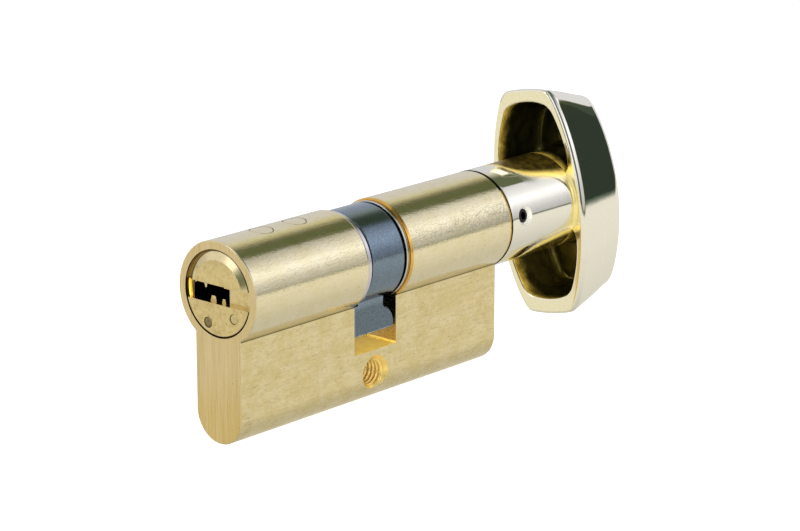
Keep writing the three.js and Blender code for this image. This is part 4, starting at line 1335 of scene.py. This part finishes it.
# ------------------------------------------------------------------ studio
def studio():
    w = bpy.data.worlds.new("studio")
    bpy.context.scene.world = w
    w.use_nodes = True
    t = w.node_tree
    t.nodes.clear()
    out = t.nodes.new("ShaderNodeOutputWorld")
    tc = t.nodes.new("ShaderNodeTexCoord")
    sp = t.nodes.new("ShaderNodeSeparateXYZ")
    nrm = t.nodes.new("ShaderNodeVectorMath")
    nrm.operation = "NORMALIZE"
    t.links.new(tc.outputs["Generated"], nrm.inputs[0])
    t.links.new(nrm.outputs[0], sp.inputs[0])
    x, y, z = (E(t, sp.outputs[i]) for i in range(3))
    el = z._op("ARCSINE") * (180 / PI)
    az = x._op("ARCTAN2", y) * (180 / PI)              # 0 along +Y, 90 along +X

    def lerp(a, b, f):
        return a + (b - a) * f
    # brightness against elevation, on the softbox side
    v = el.curve([(-90, 0.55), (-45, 0.60), (-38, 0.63), (-30, 0.70), (-15, 0.80), (-7, 0.82), (-4.6, 0.80), (-3.8, 0.15), (-2.8, 0.17),
                  (-1.8, 0.50), (1, 0.55), (5, 0.61), (9, 0.70), (13, 0.80), (17, 0.98), (21, 1.10), (25, 1.15), (28, 1.05), (31.7, 0.90),
                  (34.7, 0.82), (37.4, 0.76), (40.5, 0.60), (43.5, 0.52), (47, 0.40), (60, 0.12), (90, 0.20)])
    above = el.step(-3.4, -2.6)
    # panels round the set, each (azimuth from, to, brightness above the horizon, brightness high up)
    for a0, a1, low, high in ((-155, -119, 0.10, 0.10), (-119, -90, 0.98, 0.6), (-90, -73, 0.16, 0.14), (-73, -57, 1.6, 0.5), (-57, -28, 0.85, 0.3), (-28, 62, 0.66, 0.62), (62, 101, 0.74, 0.50)):
        inside = az.step(a0 - 2.5, a0 + 2.5) * az.step(a1 + 2.5, a1 - 2.5)
        v = lerp(v, el.step(36, 48, low, high), inside * above)
    # between the softbox and the far panel the ceiling is dark
    gap_hi = az.step(103.4, 101.6) * az.step(56.0, 79.0)
    v = lerp(v, 0.128, gap_hi * el.step(27.0, 31.0))
    # a dark flag beyond the thumbturn end
    flag = x.step(0.768, 0.777) * above * el.step(26.0, 23.6) * az.step(98.5, 101.0)
    v = lerp(v, 0.042, flag)
    v = lerp(v, 0.07, flag * az.step(107.5, 106.5))
    # tint: warm floor, cool white in the softbox, green in the dark parts, blue-grey round the camera
    warm = mix(t, el.step(-6, 2), (1.0, 0.98, 0.91), (0.99, 1.0, 1.08))
    green = v.step(0.34, 0.12)
    dark_tint = mix(t, el.step(18, 26) * az.step(40, 50), (0.72, 1.0, 0.78), (0.90, 1.08, 0.58))
    tint = mix(t, green, warm, mix(t, az.step(-112, -125), dark_tint, (0.80, 0.95, 1.05)))
    gold = az.step(50, 60) * az.step(84, 70) * el.step(27, 37)
    tint = mix(t, gold, tint, (1.0, 0.98, 0.72))
    tint = mix(t, v.step(1.0, 1.2), tint, (0.96, 1.0, 1.12))
    comb = t.nodes.new("ShaderNodeVectorMath")
    comb.operation = "SCALE"
    t.links.new(tint, comb.inputs[0])
    t.links.new(v.s, comb.inputs["Scale"])
    lp = t.nodes.new("ShaderNodeLightPath")
    bg = t.nodes.new("ShaderNodeBackground")
    col = mix(t, E(t, lp.outputs["Is Camera Ray"]), comb.outputs[0], (1, 1, 1))
    t.links.new(col, bg.inputs["Color"])
    t.links.new(bg.outputs[0], out.inputs["Surface"])


studio()

lamp = bpy.data.lights.new("top_softbox", "AREA")
lamp.shape, lamp.size, lamp.size_y = "RECTANGLE", 0.5, 0.5
lamp.energy = 1.6
lob = bpy.data.objects.new("top_softbox", lamp)
bpy.context.scene.collection.objects.link(lob)
lob.location = (-0.1, -0.15, 0.62)
lob.rotation_euler = (math.radians(-14), 0, 0)
lob.visible_glossy = False

lamp = bpy.data.lights.new("front_fill", "AREA")
lamp.shape, lamp.size, lamp.size_y = "RECTANGLE", 0.4, 0.25
lamp.energy = 4.3
lob = bpy.data.objects.new("front_fill", lamp)
bpy.context.scene.collection.objects.link(lob)
lob.location = (-0.30, -0.42, 0.16)
lob.rotation_mode = "QUATERNION"
lob.rotation_quaternion = (Vector((0, 0, 0.02)) - lob.location).to_track_quat("-Z", "Y")
lob.visible_glossy = False

# ------------------------------------------------------------------ camera
cam = bpy.data.cameras.new("camera")
cam.sensor_width = 36.0
cam.lens = 2727.0 / 800.0 * 36.0
cam.clip_start, cam.clip_end = 0.01, 10
cob = bpy.data.objects.new("camera", cam)
bpy.context.scene.collection.objects.link(cob)
a, e, roll = math.radians(-48.5), math.radians(15.44), math.radians(0.15)
back = Vector((math.sin(a) * math.cos(e), -math.cos(a) * math.cos(e), math.sin(e)))
cob.rotation_mode = "QUATERNION"
cob.location = (Vector((-316.2, -290.1, 116.7)) + SHIFT) * MM
cob.rotation_quaternion = (-back).to_track_quat("-Z", "Y")
bpy.context.scene.camera = cob

sc = bpy.context.scene
sc.view_settings.view_transform = "Standard"
sc.view_settings.look = "None"
sc.view_settings.exposure = 0.0
sc.view_settings.gamma = 1.0
